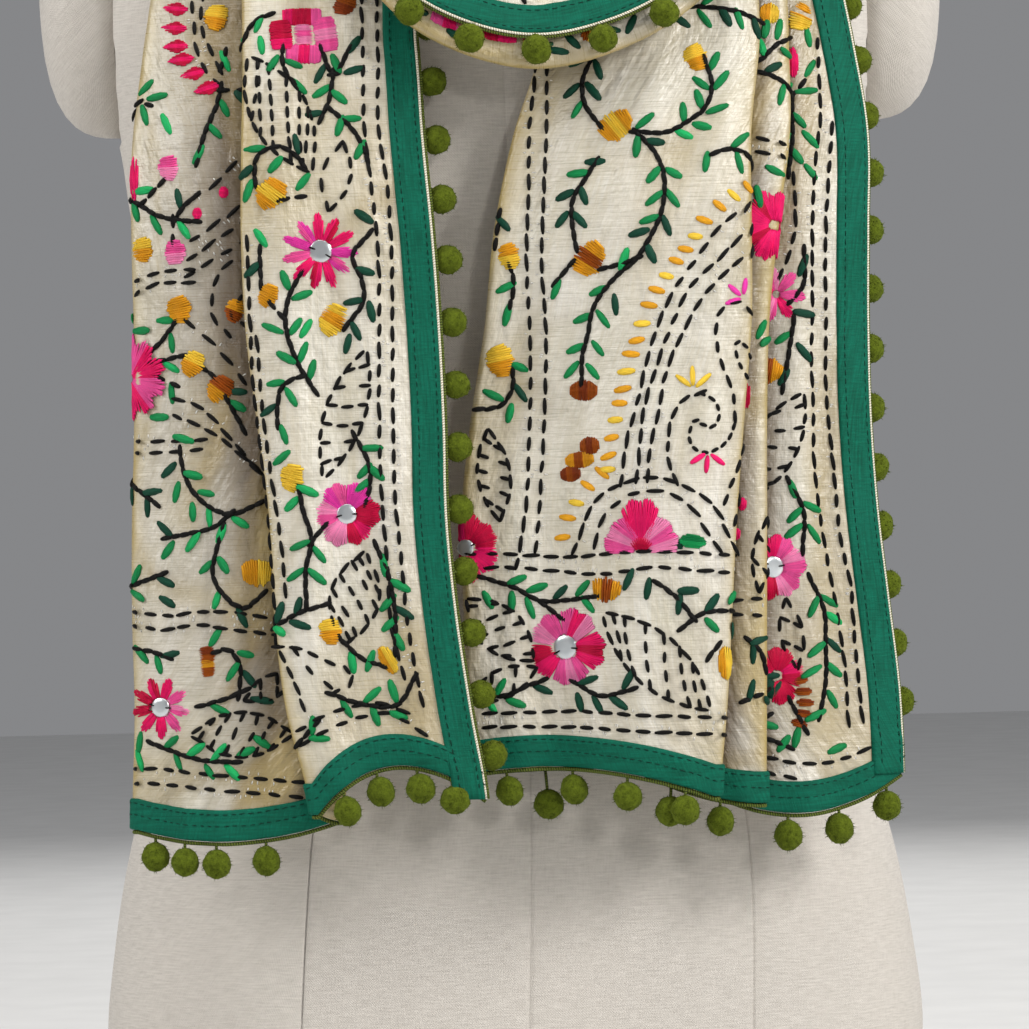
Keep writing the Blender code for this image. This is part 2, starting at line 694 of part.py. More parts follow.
# Pompom trims
line, out, facing = edge_line(left_grid[:12], left_normals[:12], 1, "first")
trim_solid("trim_left_side", line, out, facing, spaced(line, 0.05, 0.93, POMPOM_STEP), side_hang, felt)
line, out, facing = edge_line(right_grid, right_normals, 1, "last")
trim_solid("trim_right_side", line, out, facing, spaced(line, 0.06, 0.97, POMPOM_STEP), side_hang, felt)
line, out, facing = edge_line(left_grid, left_normals, 1, "hem")
left_picks = [(0, s, 0) for s in (0.22, 0.42, 0.64, 0.85)] + [(2, s, 0) for s in (0.36, 0.60, 0.76, 0.93)]
trim_solid("trim_left_hem", line, out, facing, hem_places(left_grid, left_columns, left_picks), hem_hang, felt)
line, out, facing = edge_line(right_grid, right_normals, 1, "hem")
right_picks = [(1, s, 0) for s in (0.08, 0.37, 0.64, 0.90)] + [(5, s, 0) for s in (0.35, 0.62, 0.90)]
right_picks += [(0, 0.5, 6.5), (2, 0.75, 4), (3, 0.68, 0)]
trim_solid("trim_right_hem", line, out, facing, hem_places(right_grid, right_columns, right_picks), hem_hang, felt)
line, out, facing = edge_line(cowl_grid[1:-3], cowl_normals[1:-3], 1, "last")
trim_solid("trim_cowl", line, out, facing, spaced(line, 0.04, 0.96, POMPOM_STEP), cowl_hang, felt)
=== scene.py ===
import math

import bpy
import numpy as np
from mathutils import Matrix


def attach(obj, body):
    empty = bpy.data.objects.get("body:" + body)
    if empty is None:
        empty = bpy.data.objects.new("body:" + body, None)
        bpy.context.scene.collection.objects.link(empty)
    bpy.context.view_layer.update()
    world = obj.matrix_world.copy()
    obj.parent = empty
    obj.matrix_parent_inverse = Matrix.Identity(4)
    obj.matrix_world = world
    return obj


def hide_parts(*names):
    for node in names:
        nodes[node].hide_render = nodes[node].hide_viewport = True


# Embroidered silk stole with a green border and felt pompoms, worn once round the neck of a linen dress form.
# Metres, +Z up, the wearer's front faces -Y, +X is the viewer's right.

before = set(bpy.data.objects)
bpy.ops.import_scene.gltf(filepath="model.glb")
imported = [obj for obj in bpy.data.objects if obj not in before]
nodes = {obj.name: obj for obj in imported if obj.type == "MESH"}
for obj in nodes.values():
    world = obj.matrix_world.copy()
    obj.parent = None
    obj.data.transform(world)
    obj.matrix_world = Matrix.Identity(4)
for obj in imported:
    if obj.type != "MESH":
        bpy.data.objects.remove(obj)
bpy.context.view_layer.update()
scene = bpy.context.scene
mm = 0.001
print("frame loaded:", len(nodes), "nodes")

# camera at the photograph's angle, and soft studio light

cameraValues = {"place": (0.0053, -2.5, 0.320), "roll": 0.025, "sensor": 36, "photoSide": 1029,
                "metresPerPixel": 0.00045}

camera = bpy.data.objects.new("photo_camera", bpy.data.cameras.new("photo_camera"))
scene.collection.objects.link(camera)
frameWidth = cameraValues["photoSide"] * cameraValues["metresPerPixel"]
camera.data.sensor_width = cameraValues["sensor"]
camera.data.lens = cameraValues["sensor"] / (frameWidth / -cameraValues["place"][1])
camera.data.clip_end = 60
camera.location = cameraValues["place"]
level = Matrix.Rotation(math.pi / 2, 4, "X")
camera.rotation_euler = (level @ Matrix.Rotation(-cameraValues["roll"], 4, "Z")).to_euler()
scene.camera = camera

studioValues = {"lamp": "FFFDFA", "world": "D2D3D6", "strength": 0.37}
lightTable = (  # name, place, aim, size, watts
    ("softbox_right", (2.0, -1.4, 1.6), (0, 0, 0.45), 0.8, 52),
    ("softbox_left", (-2.1, -1.0, 1.5), (0, 0, 0.50), 1.3, 32),
    ("strip_right", (0.8, -2.5, 1.0), (0, 0, 0.40), 0.30, 9),
    ("softbox_top", (0.0, -0.6, 2.4), (0, 0, 0.50), 1.6, 26),
    ("softbox_back", (0.3, 2.4, 1.6), (0, 0, 0.45), 1.6, 22),
)


def hexColour(text, alpha=True):
    parts = [int(text[i:i + 2], 16) / 255 for i in (0, 2, 4)]
    line = [c / 12.92 if c <= 0.04045 else ((c + 0.055) / 1.055) ** 2.4 for c in parts]
    return (*line, 1.0) if alpha else tuple(line)


def feed(tree, node, inputs):
    # an input is a value, a hex colour, another node or one of its outputs
    for place, value in inputs.items():
        if isinstance(value, bpy.types.Node):
            value = next(output for output in value.outputs if output.enabled)
        if isinstance(value, bpy.types.NodeSocket):
            tree.links.new(value, node.inputs[place])
        else:
            dyed = node.inputs[place].type == "RGBA" and isinstance(value, str)
            node.inputs[place].default_value = hexColour(value) if dyed else value


def addNode(tree, kind, inputs=None, **settings):
    node = tree.nodes.new(kind)
    for key, value in settings.items():
        setattr(node, key, value)
    feed(tree, node, inputs or {})
    return node


for name, place, aim, size, watts in lightTable:
    lamp = bpy.data.objects.new(name, bpy.data.lights.new(name, "AREA"))
    scene.collection.objects.link(lamp)
    lamp.data.size = size
    lamp.data.energy = watts
    lamp.data.color = hexColour(studioValues["lamp"], False)
    way = np.array(aim) - np.array(place)
    way = way / np.linalg.norm(way)
    lamp.location = place
    flat = math.hypot(way[0], way[1])
    lamp.rotation_euler = (math.pi / 2 + math.atan2(way[2], flat), 0, math.atan2(-way[0], way[1]))

world = bpy.data.worlds.new("studio")
scene.world = world
world.use_nodes = True
feed(world.node_tree, world.node_tree.nodes["Background"],
     {"Color": studioValues["world"], "Strength": studioValues["strength"]})
scene.view_settings.view_transform = "Standard"

# materials


def startMaterial(name):
    material = bpy.data.materials.new(name)
    material.use_nodes = True
    tree = material.node_tree
    return material, tree, tree.nodes["Principled BSDF"]


def stretchedNoise(tree, source, across, along, detail=2.0, rough=0.5):
    # noise on a surface laid out in metres: so many grains for each metre each way
    laid = addNode(tree, "ShaderNodeMapping", {0: source, 3: (across, along, along)})
    return addNode(tree, "ShaderNodeTexNoise", {0: laid, "Scale": 1.0, "Detail": detail, "Roughness": rough})


def crossedThreads(tree, source, across, along):
    # height of a plain weave from two crossed waves: threads for each metre each way
    parts = addNode(tree, "ShaderNodeSeparateXYZ", {0: source})
    waves = []
    for i, count in enumerate((across, along)):
        inputs = {0: parts.outputs[i], 1: 2 * math.pi * count}
        turned = addNode(tree, "ShaderNodeMath", inputs, operation="MULTIPLY")
        waves.append(addNode(tree, "ShaderNodeMath", {0: turned}, operation="SINE"))
    both = addNode(tree, "ShaderNodeMath", {0: waves[0], 1: waves[1]}, operation="MULTIPLY")
    return addNode(tree, "ShaderNodeMath", {0: both, 1: 0.5, 2: 0.5}, operation="MULTIPLY_ADD")


def blend(tree, share, strength, one, two):
    # second colour over the first where share is high, as strongly as strength
    amount = addNode(tree, "ShaderNodeMapRange", {0: share, 1: 0.32, 2: 0.68, 3: 0.0, 4: strength})
    return addNode(tree, "ShaderNodeMix", {0: amount, 6: one, 7: two}, data_type="RGBA")


def addHeights(tree, parts):
    # relief from several patterns, each with its share
    total = None
    for source, share in parts:
        inputs = {0: source, 1: share, 2: 0.0 if total is None else total}
        total = addNode(tree, "ShaderNodeMath", inputs, operation="MULTIPLY_ADD")
    return total


def finishSurface(tree, shader, inputs, height, distance):
    # the shader's inputs, and relief of the given height in metres
    bump = addNode(tree, "ShaderNodeBump", {"Height": height, "Distance": distance})
    feed(tree, shader, {"Normal": bump, **inputs})


def makeLinenTwill():
    # linen-cotton form cover, woven as a fine twill: matt, warm pale grey, with slubs that run sideways
    material, tree, shader = startMaterial("linen_twill_woven")
    uv = addNode(tree, "ShaderNodeUVMap", uv_map="cloth")
    slub = stretchedNoise(tree, uv, 120, 1300, 3.0, 0.6)
    warp = stretchedNoise(tree, uv, 1500, 160)
    cloud = stretchedNoise(tree, uv, 9, 6, 3.0, 0.6)
    weave = crossedThreads(tree, uv, 900, 900)  # threads are 0.5 mm apart; drawn 1.1 mm apart so that they show
    colour = blend(tree, slub, 1.0, "B7B1A9", "D1CBC3")
    colour = blend(tree, cloud, 0.35, colour, "C0B9B1")
    colour = blend(tree, warp, 0.30, colour, "D8D3CB")
    height = addHeights(tree, ((slub, 0.8), (weave, 0.5), (warp, 0.5)))
    finishSurface(tree, shader, {"Base Color": colour, "Roughness": 0.88, "Specular IOR Level": 0.25,
                                 "Sheen Weight": 0.12, "Sheen Roughness": 0.5}, height, 0.25 * mm)
    return material


def makeShotSilk():
    # handloom tussar silk, woven from cream and gold threads: soft sheen, shot colour, fine slubs, painted shade and
    # sheen in the folds
    material, tree, shader = startMaterial("shot_silk_handwoven")
    uv = addNode(tree, "ShaderNodeUVMap", uv_map="cloth")
    weft = stretchedNoise(tree, uv, 60, 1500, 3.0, 0.65)  # slubby weft about 0.7 mm apart
    warp = stretchedNoise(tree, uv, 1700, 45, 2.0, 0.6)
    pucker = stretchedNoise(tree, uv, 120, 62, 2.0, 0.5)  # crinkle 8 mm across and 16 mm long round the stitches
    fine = stretchedNoise(tree, uv, 330, 210)
    cloud = stretchedNoise(tree, uv, 22, 13, 3.0, 0.6)
    cast = stretchedNoise(tree, uv, 34, 17, 2.0, 0.5)
    bands = stretchedNoise(tree, uv, 95, 21, 2.0, 0.6)
    slant = addNode(tree, "ShaderNodeLayerWeight", {0: 0.35})
    colour = blend(tree, cloud, 1.0, "B9B5A6", "D5D2C6")
    colour = blend(tree, cast, 0.40, colour, "C0B9B6")  # the crossed threads throw a faint rose cast
    colour = blend(tree, weft, 0.6, colour, "F6F3EC")
    colour = blend(tree, warp, 0.30, colour, "BFB08E")
    colour = blend(tree, bands, 0.34, colour, "9B9069")  # and a gold one, in bands down the cloth
    # painted shade: deep brown in the folds; gold where the cloth turns from view, with painted sheen and shade
    paintedShade = addNode(tree, "ShaderNodeAttribute", attribute_name="paintedShade").outputs["Fac"]
    deep = addNode(tree, "ShaderNodeMix", {0: paintedShade, 6: colour, 7: "503D20"}, data_type="RGBA")
    # the turn attribute paints sheen at fold edges and ripple flanks, and shade in dips and creases
    turned = addNode(tree, "ShaderNodeAttribute", attribute_name="turn").outputs["Fac"]
    gold = {0: slant.outputs[1], 1: 0.6, 2: turned}
    gold = addNode(tree, "ShaderNodeMath", gold, operation="MULTIPLY_ADD", use_clamp=True)
    colour = addNode(tree, "ShaderNodeMix", {0: gold, 6: deep.outputs[2], 7: "AA955C"}, data_type="RGBA")
    rough = addNode(tree, "ShaderNodeMath", {0: weft, 1: 0.26, 2: 0.17}, operation="MULTIPLY_ADD")
    height = addHeights(tree, ((pucker, 1.0), (fine, 0.34), (weft, 0.11), (warp, 0.07)))
    finishSurface(tree, shader, {"Base Color": colour, "Roughness": rough, "Specular IOR Level": 0.9,
                                 "Sheen Weight": 0.1, "Sheen Roughness": 0.35, "Sheen Tint": "FFF6DC"},
                  height, 2.3 * mm)
    return material


def makeSlubTape():
    # hand-woven cotton tape, dyed teal green: matt, with thick and thin threads that run along it
    material, tree, shader = startMaterial("cotton_tape_slub_dyed")
    uv = addNode(tree, "ShaderNodeUVMap", uv_map="cloth")
    long = stretchedNoise(tree, uv, 1100, 70, 3.0, 0.6)
    rib = stretchedNoise(tree, uv, 160, 1250, 2.0, 0.6)  # weft ribs about 0.8 mm apart
    cloud = stretchedNoise(tree, uv, 60, 24, 3.0, 0.6)
    colour = blend(tree, long, 1.0, "024C39", "046A53")
    colour = blend(tree, rib, 0.5, colour, "033D30")
    colour = blend(tree, cloud, 0.3, colour, "0E6653")
    height = addHeights(tree, ((rib, 0.8), (long, 0.6)))
    finishSurface(tree, shader, {"Base Color": colour, "Roughness": 0.74, "Specular IOR Level": 0.14,
                                 "Sheen Weight": 0.03, "Sheen Roughness": 0.4, "Sheen Tint": "5FC49C"},
                  height, 0.35 * mm)
    return material


def makeWoolFelt():
    # rolled wool felt, dyed olive green: fully matt, mottled, with a soft fuzzy skin
    material, tree, shader = startMaterial("wool_felt_rolled")
    place = addNode(tree, "ShaderNodeTexCoord").outputs["Object"]
    fibre = addNode(tree, "ShaderNodeTexNoise", {0: place, "Scale": 1700.0, "Detail": 4.0, "Roughness": 0.65})
    tuft = addNode(tree, "ShaderNodeTexNoise", {0: place, "Scale": 420.0, "Detail": 3.0, "Roughness": 0.6})
    colour = blend(tree, tuft, 1.0, "283004", "525F15")
    colour = blend(tree, fibre, 0.5, colour, "6F7E26")
    height = addHeights(tree, ((fibre, 0.6), (tuft, 1.3)))
    finishSurface(tree, shader, {"Base Color": colour, "Roughness": 0.96, "Specular IOR Level": 0.08,
                                 "Sheen Weight": 0.14, "Sheen Roughness": 0.55, "Sheen Tint": "A9B85A"},
                  height, 0.6 * mm)
    return material


def makeFloss():
    # stranded cotton and rayon floss: silky, each stitch dyed by its own colour, fine strands along the stitch
    material, tree, shader = startMaterial("stranded_floss_mercerised")
    dye = addNode(tree, "ShaderNodeAttribute", attribute_name="threadColour")
    uv = addNode(tree, "ShaderNodeUVMap", uv_map="thread")
    strand = stretchedNoise(tree, uv, 1.2, 13.0, 2.0, 0.6)  # the thread's UV is one unit long and one round
    shade = addNode(tree, "ShaderNodeMapRange", {0: strand, 1: 0.25, 2: 0.75, 3: 0.58, 4: 1.24})
    colour = addNode(tree, "ShaderNodeVectorMath", {0: dye.outputs["Color"], 3: shade}, operation="SCALE")
    finish = {"Base Color": colour, "Roughness": 0.5, "Specular IOR Level": 0.16}
    finishSurface(tree, shader, finish, strand, 0.7 * mm)
    return material


def makeCottonCord(name, dark, light):
    # twisted cotton cord: matt, with strands that wind round it
    material, tree, shader = startMaterial(name)
    uv = addNode(tree, "ShaderNodeUVMap", uv_map="cloth")
    parts = addNode(tree, "ShaderNodeSeparateXYZ", {0: uv})
    turn = {0: parts.outputs[1], 1: 900.0, 2: parts.outputs[0]}  # turns for each metre of cord
    turn = addNode(tree, "ShaderNodeMath", turn, operation="MULTIPLY_ADD")
    angle = addNode(tree, "ShaderNodeMath", {0: turn, 1: 2 * math.pi}, operation="MULTIPLY")
    wave = addNode(tree, "ShaderNodeMath", {0: angle}, operation="SINE")
    twist = addNode(tree, "ShaderNodeMath", {0: wave, 1: 0.5, 2: 0.5}, operation="MULTIPLY_ADD")
    colour = blend(tree, twist, 1.0, dark, light)
    finish = {"Base Color": colour, "Roughness": 0.8, "Specular IOR Level": 0.3}
    finishSurface(tree, shader, finish, twist, 0.3 * mm)
    return material


def makeMirror():
    # silvered mirror glass, cut by hand: bright, a little uneven, cooler than the silk
    material, tree, shader = startMaterial("mirror_glass_cut")
    place = addNode(tree, "ShaderNodeTexCoord").outputs["Object"]
    wave = addNode(tree, "ShaderNodeTexNoise", {0: place, "Scale": 160.0, "Detail": 2.0})
    colour = blend(tree, wave, 0.6, "C3CACE", "E6E9EA")
    finishSurface(tree, shader, {"Base Color": colour, "Roughness": 0.28, "Metallic": 0.85, "Coat Weight": 0.4,
                                 "Coat Roughness": 0.12}, wave, 0.1 * mm)
    return material


linenTwill = makeLinenTwill()
shotSilk = makeShotSilk()
slubTape = makeSlubTape()
woolFelt = makeWoolFelt()
flossThread = makeFloss()
pipingCord = makeCottonCord("cotton_piping_twisted", "BDB49C", "F0EBDC")
laceBraid = makeCottonCord("cotton_braid_olive", "353F12", "626F26")
mirrorGlass = makeMirror()
print("materials made")

# cloth geometry: the same tables as the solids, with finer steps and small ripples

clothValues = {
    "wall": 1.2 * mm, "layerStep": 4.8 * mm, "tapeWidth": 13.5 * mm, "shoulder": 0.668, "blendTop": 0.46,
    "hemSample": 0.2, "tiltCentre": 0.12, "wrapStart": 0.09, "wrapRate": 4.0, "settleFrom": 0.075, "settleTo": 0.010,
    "ripple": 0.9 * mm, "frontRipple": 1.8 * mm, "crinkle": 0.36 * mm, "crease": 0.5 * mm, "softTop": 0.60,
    "softFade": 0.06, "loose": (0.62, 0.56), "lieBack": 14.0, "lieBackMore": 8.0, "lieBackHeights": (0.45, 0.35),
    # the size of ripples, crinkle and creases in metres, across the cloth and down it, and a crease's sharpness
    "rippleSize": (0.021, 0.115), "crinkleSize": (0.0085, 0.0125), "creaseSize": (0.027, 0.085), "sharp": 0.13,
}
layerStep = clothValues["layerStep"]
wall = clothValues["wall"]
tapeWidth = clothValues["tapeWidth"]
blendTop, shoulder = clothValues["blendTop"], clothValues["shoulder"]

pathRows = (  # height, depth, lean, tilt of the deepest layer of a hanging end
    (170, -134, 0, 0.0), (300, -137, 0, 0.0), (400, -138, 0, 0.0), (460, -138, 0, 0.0), (500, -131, 0, 0.0),
    (530, -122, 0, 0.0), (556, -112, 0, 0.0), (580, -102, 8, 0.04), (604, -89, 18, 0.10), (626, -75, 30, 0.20),
    (642, -61, 45, 0.30), (655, -43, 60, 0.38), (664, -22, 75, 0.44), (668, 0, 90, 0.46),
)
leftRows = (  # height, then border edge, front fold, inner fold, outer fold, hidden edge
    (170, -9, -81, -70, -162, -96), (200, -10, -84, -70, -161, -96), (240, -16, -93, -62, -159, -96),
    (280, -21, -97, -54, -159, -96), (320, -24, -98, -49, -158, -97), (360, -24, -102, -46, -156, -98),
    (400, -25, -106, -48, -155, -98), (440, -27, -107, -50, -155, -98), (480, -30, -106, -52, -154, -98),
    (520, -32, -105, -55, -149, -98), (560, -36, -107, -62, -144, -100), (600, -68, -122, -86, -146, -108),
    (625, -90, -134, -102, -149, -114), (645, -98, -140, -108, -152, -118), (668, -100, -142, -110, -154, -120),
)
rightRows = (  # height, then hidden edge, left fold, right fold, inner fold, pleat fold, deep fold, border edge
    (170, 36, -8, 88, 58, 109, 86, 169), (200, 36, -10, 89, 58, 109, 86, 169), (240, 36, -16, 93, 60, 110, 86, 168),
    (280, 36, -17, 96, 62, 111, 88, 164), (320, 36, -17, 99, 64, 112, 88, 160), (360, 38, -12, 103, 66, 113, 88, 158),
    (400, 40, -5, 107, 68, 115, 90, 158), (440, 42, 0, 108, 70, 120, 92, 159), (480, 46, 9, 109, 72, 126, 94, 160),
    (520, 50, 22, 114, 74, 127, 94, 155), (560, 52, 24, 115, 78, 128, 96, 149), (600, 70, 50, 126, 92, 136, 108, 147),
    (640, 98, 87, 136, 108, 142, 120, 148), (668, 104, 92, 138, 112, 143, 122, 148),
)
leftHem = ((200, 215, 195), (195, 193, 192), (192, 184, 189), (189, 190, 192))  # start, middle, end of each run
rightHem = ((212, 212, 211), (211, 211, 199), (199, 205, 208), (208, 199, 195), (195, 196, 199), (199, 190, 205))
leftSoft = (  # run, place, half width, rise in mm, slant for each metre up
    (0, 0.34, 0.16, 3.0, 0.5), (0, 0.82, 0.12, 3.2, -0.1), (2, 0.40, 0.08, -1.8, 0.2), (2, 0.64, 0.06, 2.6, 0.4),
    (2, 0.78, 0.06, 3.0, 0.2), (2, 0.92, 0.05, 2.2, 0.0),
)
rightSoft = (
    (1, 0.22, 0.12, 2.4, 0.2), (1, 0.58, 0.16, 3.2, -0.3), (1, 0.90, 0.08, 2.4, 0.1),
    (3, 0.85, 0.12, 1.2, 0.0), (5, 0.55, 0.10, 2.4, 0.2), (5, 0.80, 0.08, 2.2, -0.1),
)
innerPassRows = (  # base point, direction across, direction through the layers, folds across
    ((-79, 0, 692), (0, 0, 1), (1, 0, 0), (6, 50, 0, 56, 4)),
    ((-72, 33, 690), (0, 0, 1), (0.9, -0.4, 0), (6, 50, 0, 56, 4)),
    ((-56, 58, 690), (0, 0, 1), (0.7, -0.7, 0), (6, 50, 0, 56, 4)),
    ((-30, 75, 690), (0, 0, 1), (0.35, -0.93, 0), (6, 50, 0, 56, 4)),
    ((0, 80, 690), (0, 0.05, 1), (0, -1, 0.05), (6, 50, 0, 56, 4)),
    ((40, 85, 685), (-0.2, -0.2, 0.95), (-0.35, -0.85, -0.3), (6, 50, 0, 56, 4)),
    ((84, 82, 671), (-0.53, -0.53, 0.66), (-0.47, -0.47, -0.75), (5, 50, 0, 56, 4)),
    ((125, 48, 664), (-0.8, -0.3, 0.52), (-0.35, -0.15, -0.92), (4, 50, 0, 56, 4)),
    ((147, 0, 666), (-1, 0, 0.46), (0, 0, -1), (4, 50, 0, 56, 4)),
)
outerPassRows = (
    ((-100, 0, 684.4), (-1, 0, -0.46), (0, 0, 1), (0, 42, 10, 54, 20)),
    ((-90, 36, 685), (-0.85, 0.3, 0.25), (0.3, -0.1, 0.95), (0, 45, 7, 56, 16)),
    ((-70, 70, 688), (-0.5, 0.5, 0.7), (0.5, -0.5, 0.7), (0, 48, 5, 57, 12)),
    ((-38, 91, 690), (-0.15, 0.25, 0.95), (0.3, -0.9, 0.25), (0, 50, 3, 57, 8)),
    ((0, 98, 690), (0, 0.05, 1), (0, -1, 0.05), (0, 50, 2, 57, 6)),
    ((46, 101, 689), (-0.2, -0.2, 0.95), (-0.35, -0.85, -0.3), (2, 50, 0, 57, 5)),
    ((95, 92, 686), (-0.53, -0.53, 0.66), (-0.47, -0.47, -0.75), (3, 50, 0, 57, 4)),
    ((134, 51, 685), (-0.8, -0.3, 0.52), (-0.35, -0.15, -0.92), (4, 50, 0, 57, 4)),
    ((151, 0, 688), (-1, 0, 0.46), (0, 0, -1), (4, 50, 0, 57, 4)),
)
cowlRows = (
    outerPassRows[-1],
    ((149, -42, 682), (-0.95, 0.05, 0.42), (0, 0.45, -0.9), (5, 51, -1, 58, 4)),
    ((143, -84, 656), (-0.9, 0.05, 0.43), (0, 0.75, -0.66), (7, 53, -3, 60, 3)),
    ((130, -115, 612), (-0.82, 0.1, 0.56), (-0.1, 0.93, -0.35), (10, 55, -6, 62, 2)),
    ((100, -141, 560), (-0.6, 0.2, 0.78), (-0.1, 0.98, -0.2), (14, 57, -9, 65, 0)),
    ((60, -157, 529), (-0.35, 0.3, 0.9), (-0.05, 0.97, -0.25), (17, 58, -11, 68, 0)),
    ((18, -161, 519), (0, 0.35, 0.94), (0, 0.95, -0.3), (18, 58, -12, 68, 0)),
    ((-22, -156, 532), (0.35, 0.3, 0.88), (0.05, 0.96, -0.25), (17, 58, -11, 66, 0)),
    ((-56, -141, 566), (0.62, 0.22, 0.74), (0.1, 0.97, -0.2), (14, 56, -8, 63, 0)),
    ((-80, -112, 616), (0.62, 0.2, 0.76), (0.3, 0.9, -0.3), (10, 53, -4, 60, 2)),
    ((-84, -60, 668), (0.3, 0.05, 0.95), (0.8, 0.55, -0.25), (7, 51, -1, 58, 4)),
    innerPassRows[0],
)


def smoothTable(x, xs, ys):
    # cubic curve through the rows, with slopes from the neighbouring rows; x may be a whole array
    xs = np.asarray(xs, dtype=float)
    ys = np.asarray(ys, dtype=float)
    x = np.clip(np.atleast_1d(np.asarray(x, dtype=float)), xs[0], xs[-1])
    i = np.clip(np.searchsorted(xs, x) - 1, 0, len(xs) - 2)
    slopes = np.gradient(ys, xs, axis=0)
    step = xs[i + 1] - xs[i]
    t = (x - xs[i]) / step
    if ys.ndim > 1:
        step, t = step[:, None], t[:, None]
    return ((2 * t ** 3 - 3 * t ** 2 + 1) * ys[i] + (t ** 3 - 2 * t ** 2 + t) * step * slopes[i]
            + (-2 * t ** 3 + 3 * t ** 2) * ys[i + 1] + (t ** 3 - t ** 2) * step * slopes[i + 1])


def unit(vectors):
    vectors = np.asarray(vectors, dtype=float)
    return vectors / np.maximum(np.linalg.norm(vectors, axis=-1, keepdims=True), 1e-12)


def smoothStep(start, end, value):
    t = np.clip((value - start) / (end - start), 0, 1)
    return t * t * (3 - 2 * t)


def softNoise(u, v, seed):
    # smooth random hills, one for each unit square, between -1 and 1
    u, v = np.asarray(u, dtype=float), np.asarray(v, dtype=float)
    i, k = np.floor(u).astype(np.int64), np.floor(v).astype(np.int64)
    fu, fv = u - i, v - k
    fu, fv = fu * fu * (3 - 2 * fu), fv * fv * (3 - 2 * fv)

    def corner(a, b):
        n = (a * 374761393 + b * 668265263 + seed * 982451653) & 0x7FFFFFFF
        n = ((n ^ (n >> 13)) * 1274126177) & 0x7FFFFFFF
        n = n ^ (n >> 16)
        return (n % 20011) / 10005.5 - 1

    low = corner(i, k) * (1 - fu) + corner(i + 1, k) * fu
    high = corner(i, k + 1) * (1 - fu) + corner(i + 1, k + 1) * fu
    return low * (1 - fv) + high * fv


def lengthsAlong(line):
    # distance of each point from the line's start
    return np.concatenate([[0.0], np.cumsum(np.linalg.norm(np.diff(line, axis=0), axis=1))])


def hangingCloth(rows, layers, hem, soft, facing, settled, covers, paintedFoldStrength, seed):
    # covers: run, the fold that covers it, the way it comes out from under it, reach of the painted shadow it throws
    # and for each run, how strongly its folds show their painted shade and sheen
    table = np.array(rows, dtype=float)
    return {"kind": "hanging", "xs": table[:, 0] * mm, "folds": table[:, 1:] * mm, "layers": layers, "hem": hem,
            "soft": soft, "facing": facing, "settled": settled, "covers": covers, "paintedFoldStrength": paintedFoldStrength, "seed": seed}


def bundleCloth(rows, seed):
    base, across, through, folds = (np.array([row[i] for row in rows], dtype=float) for i in range(4))
    return {"kind": "bundle", "xs": lengthsAlong(base * mm), "base": base * mm, "across": across, "through": through,
            "folds": folds * mm, "layers": (0, 1, 2, 3), "soft": (), "facing": 1, "covers": (), "paintedFoldStrength": (0.7,) * 4,
            "seed": seed}


def segmentStarts(cloth, folds):
    # where each run and each fold arc starts along the unfolded cloth: run 0, arc 1, run 1, arc 2 …
    count = len(cloth["layers"])
    radius = layerStep / 2
    starts = [np.zeros(len(folds))]
    for run in range(count):
        width = np.abs(folds[:, run + 1] - folds[:, run]) - radius * ((run > 0) + (run < count - 1))
        starts.append(starts[-1] + width)
        if run < count - 1:
            starts.append(starts[-1] + math.pi * radius)
    return np.array(starts).T


def runStart(folds, run):
    # the way a run goes across, and where it leaves its fold
    way = np.sign(folds[:, run + 1] - folds[:, run])
    return way, folds[:, run] + (way * layerStep / 2 if run > 0 else 0.0)


def startsAt(cloth, along):
    return segmentStarts(cloth, smoothTable(along, cloth["xs"], cloth["folds"]))


def segmentOf(flat, starts):
    # which run or fold arc each unfolded place is in
    return np.clip((flat[:, None] >= starts[:, :-1]).sum(axis=1) - 1, 0, starts.shape[1] - 2)


def rippleHeight(cloth, flat, along):
    # long soft ripples down the cloth, a fine crinkle round the stitching, and creases
    seed = cloth["seed"]
    across, down = clothValues["rippleSize"]
    long = softNoise(flat / across + 0.35 * softNoise(flat / 0.06, along / 0.11, seed + 5), along / down, seed)
    across, down = clothValues["crinkleSize"]
    fine = softNoise(flat / across, along / down, seed + 1)
    across, down = clothValues["creaseSize"]
    bend = softNoise(flat / across + 0.4 * softNoise(flat / 0.05, along / 0.07, seed + 9), along / down, seed + 7)
    return long, fine, np.exp(-(bend / clothValues["sharp"]) ** 2)


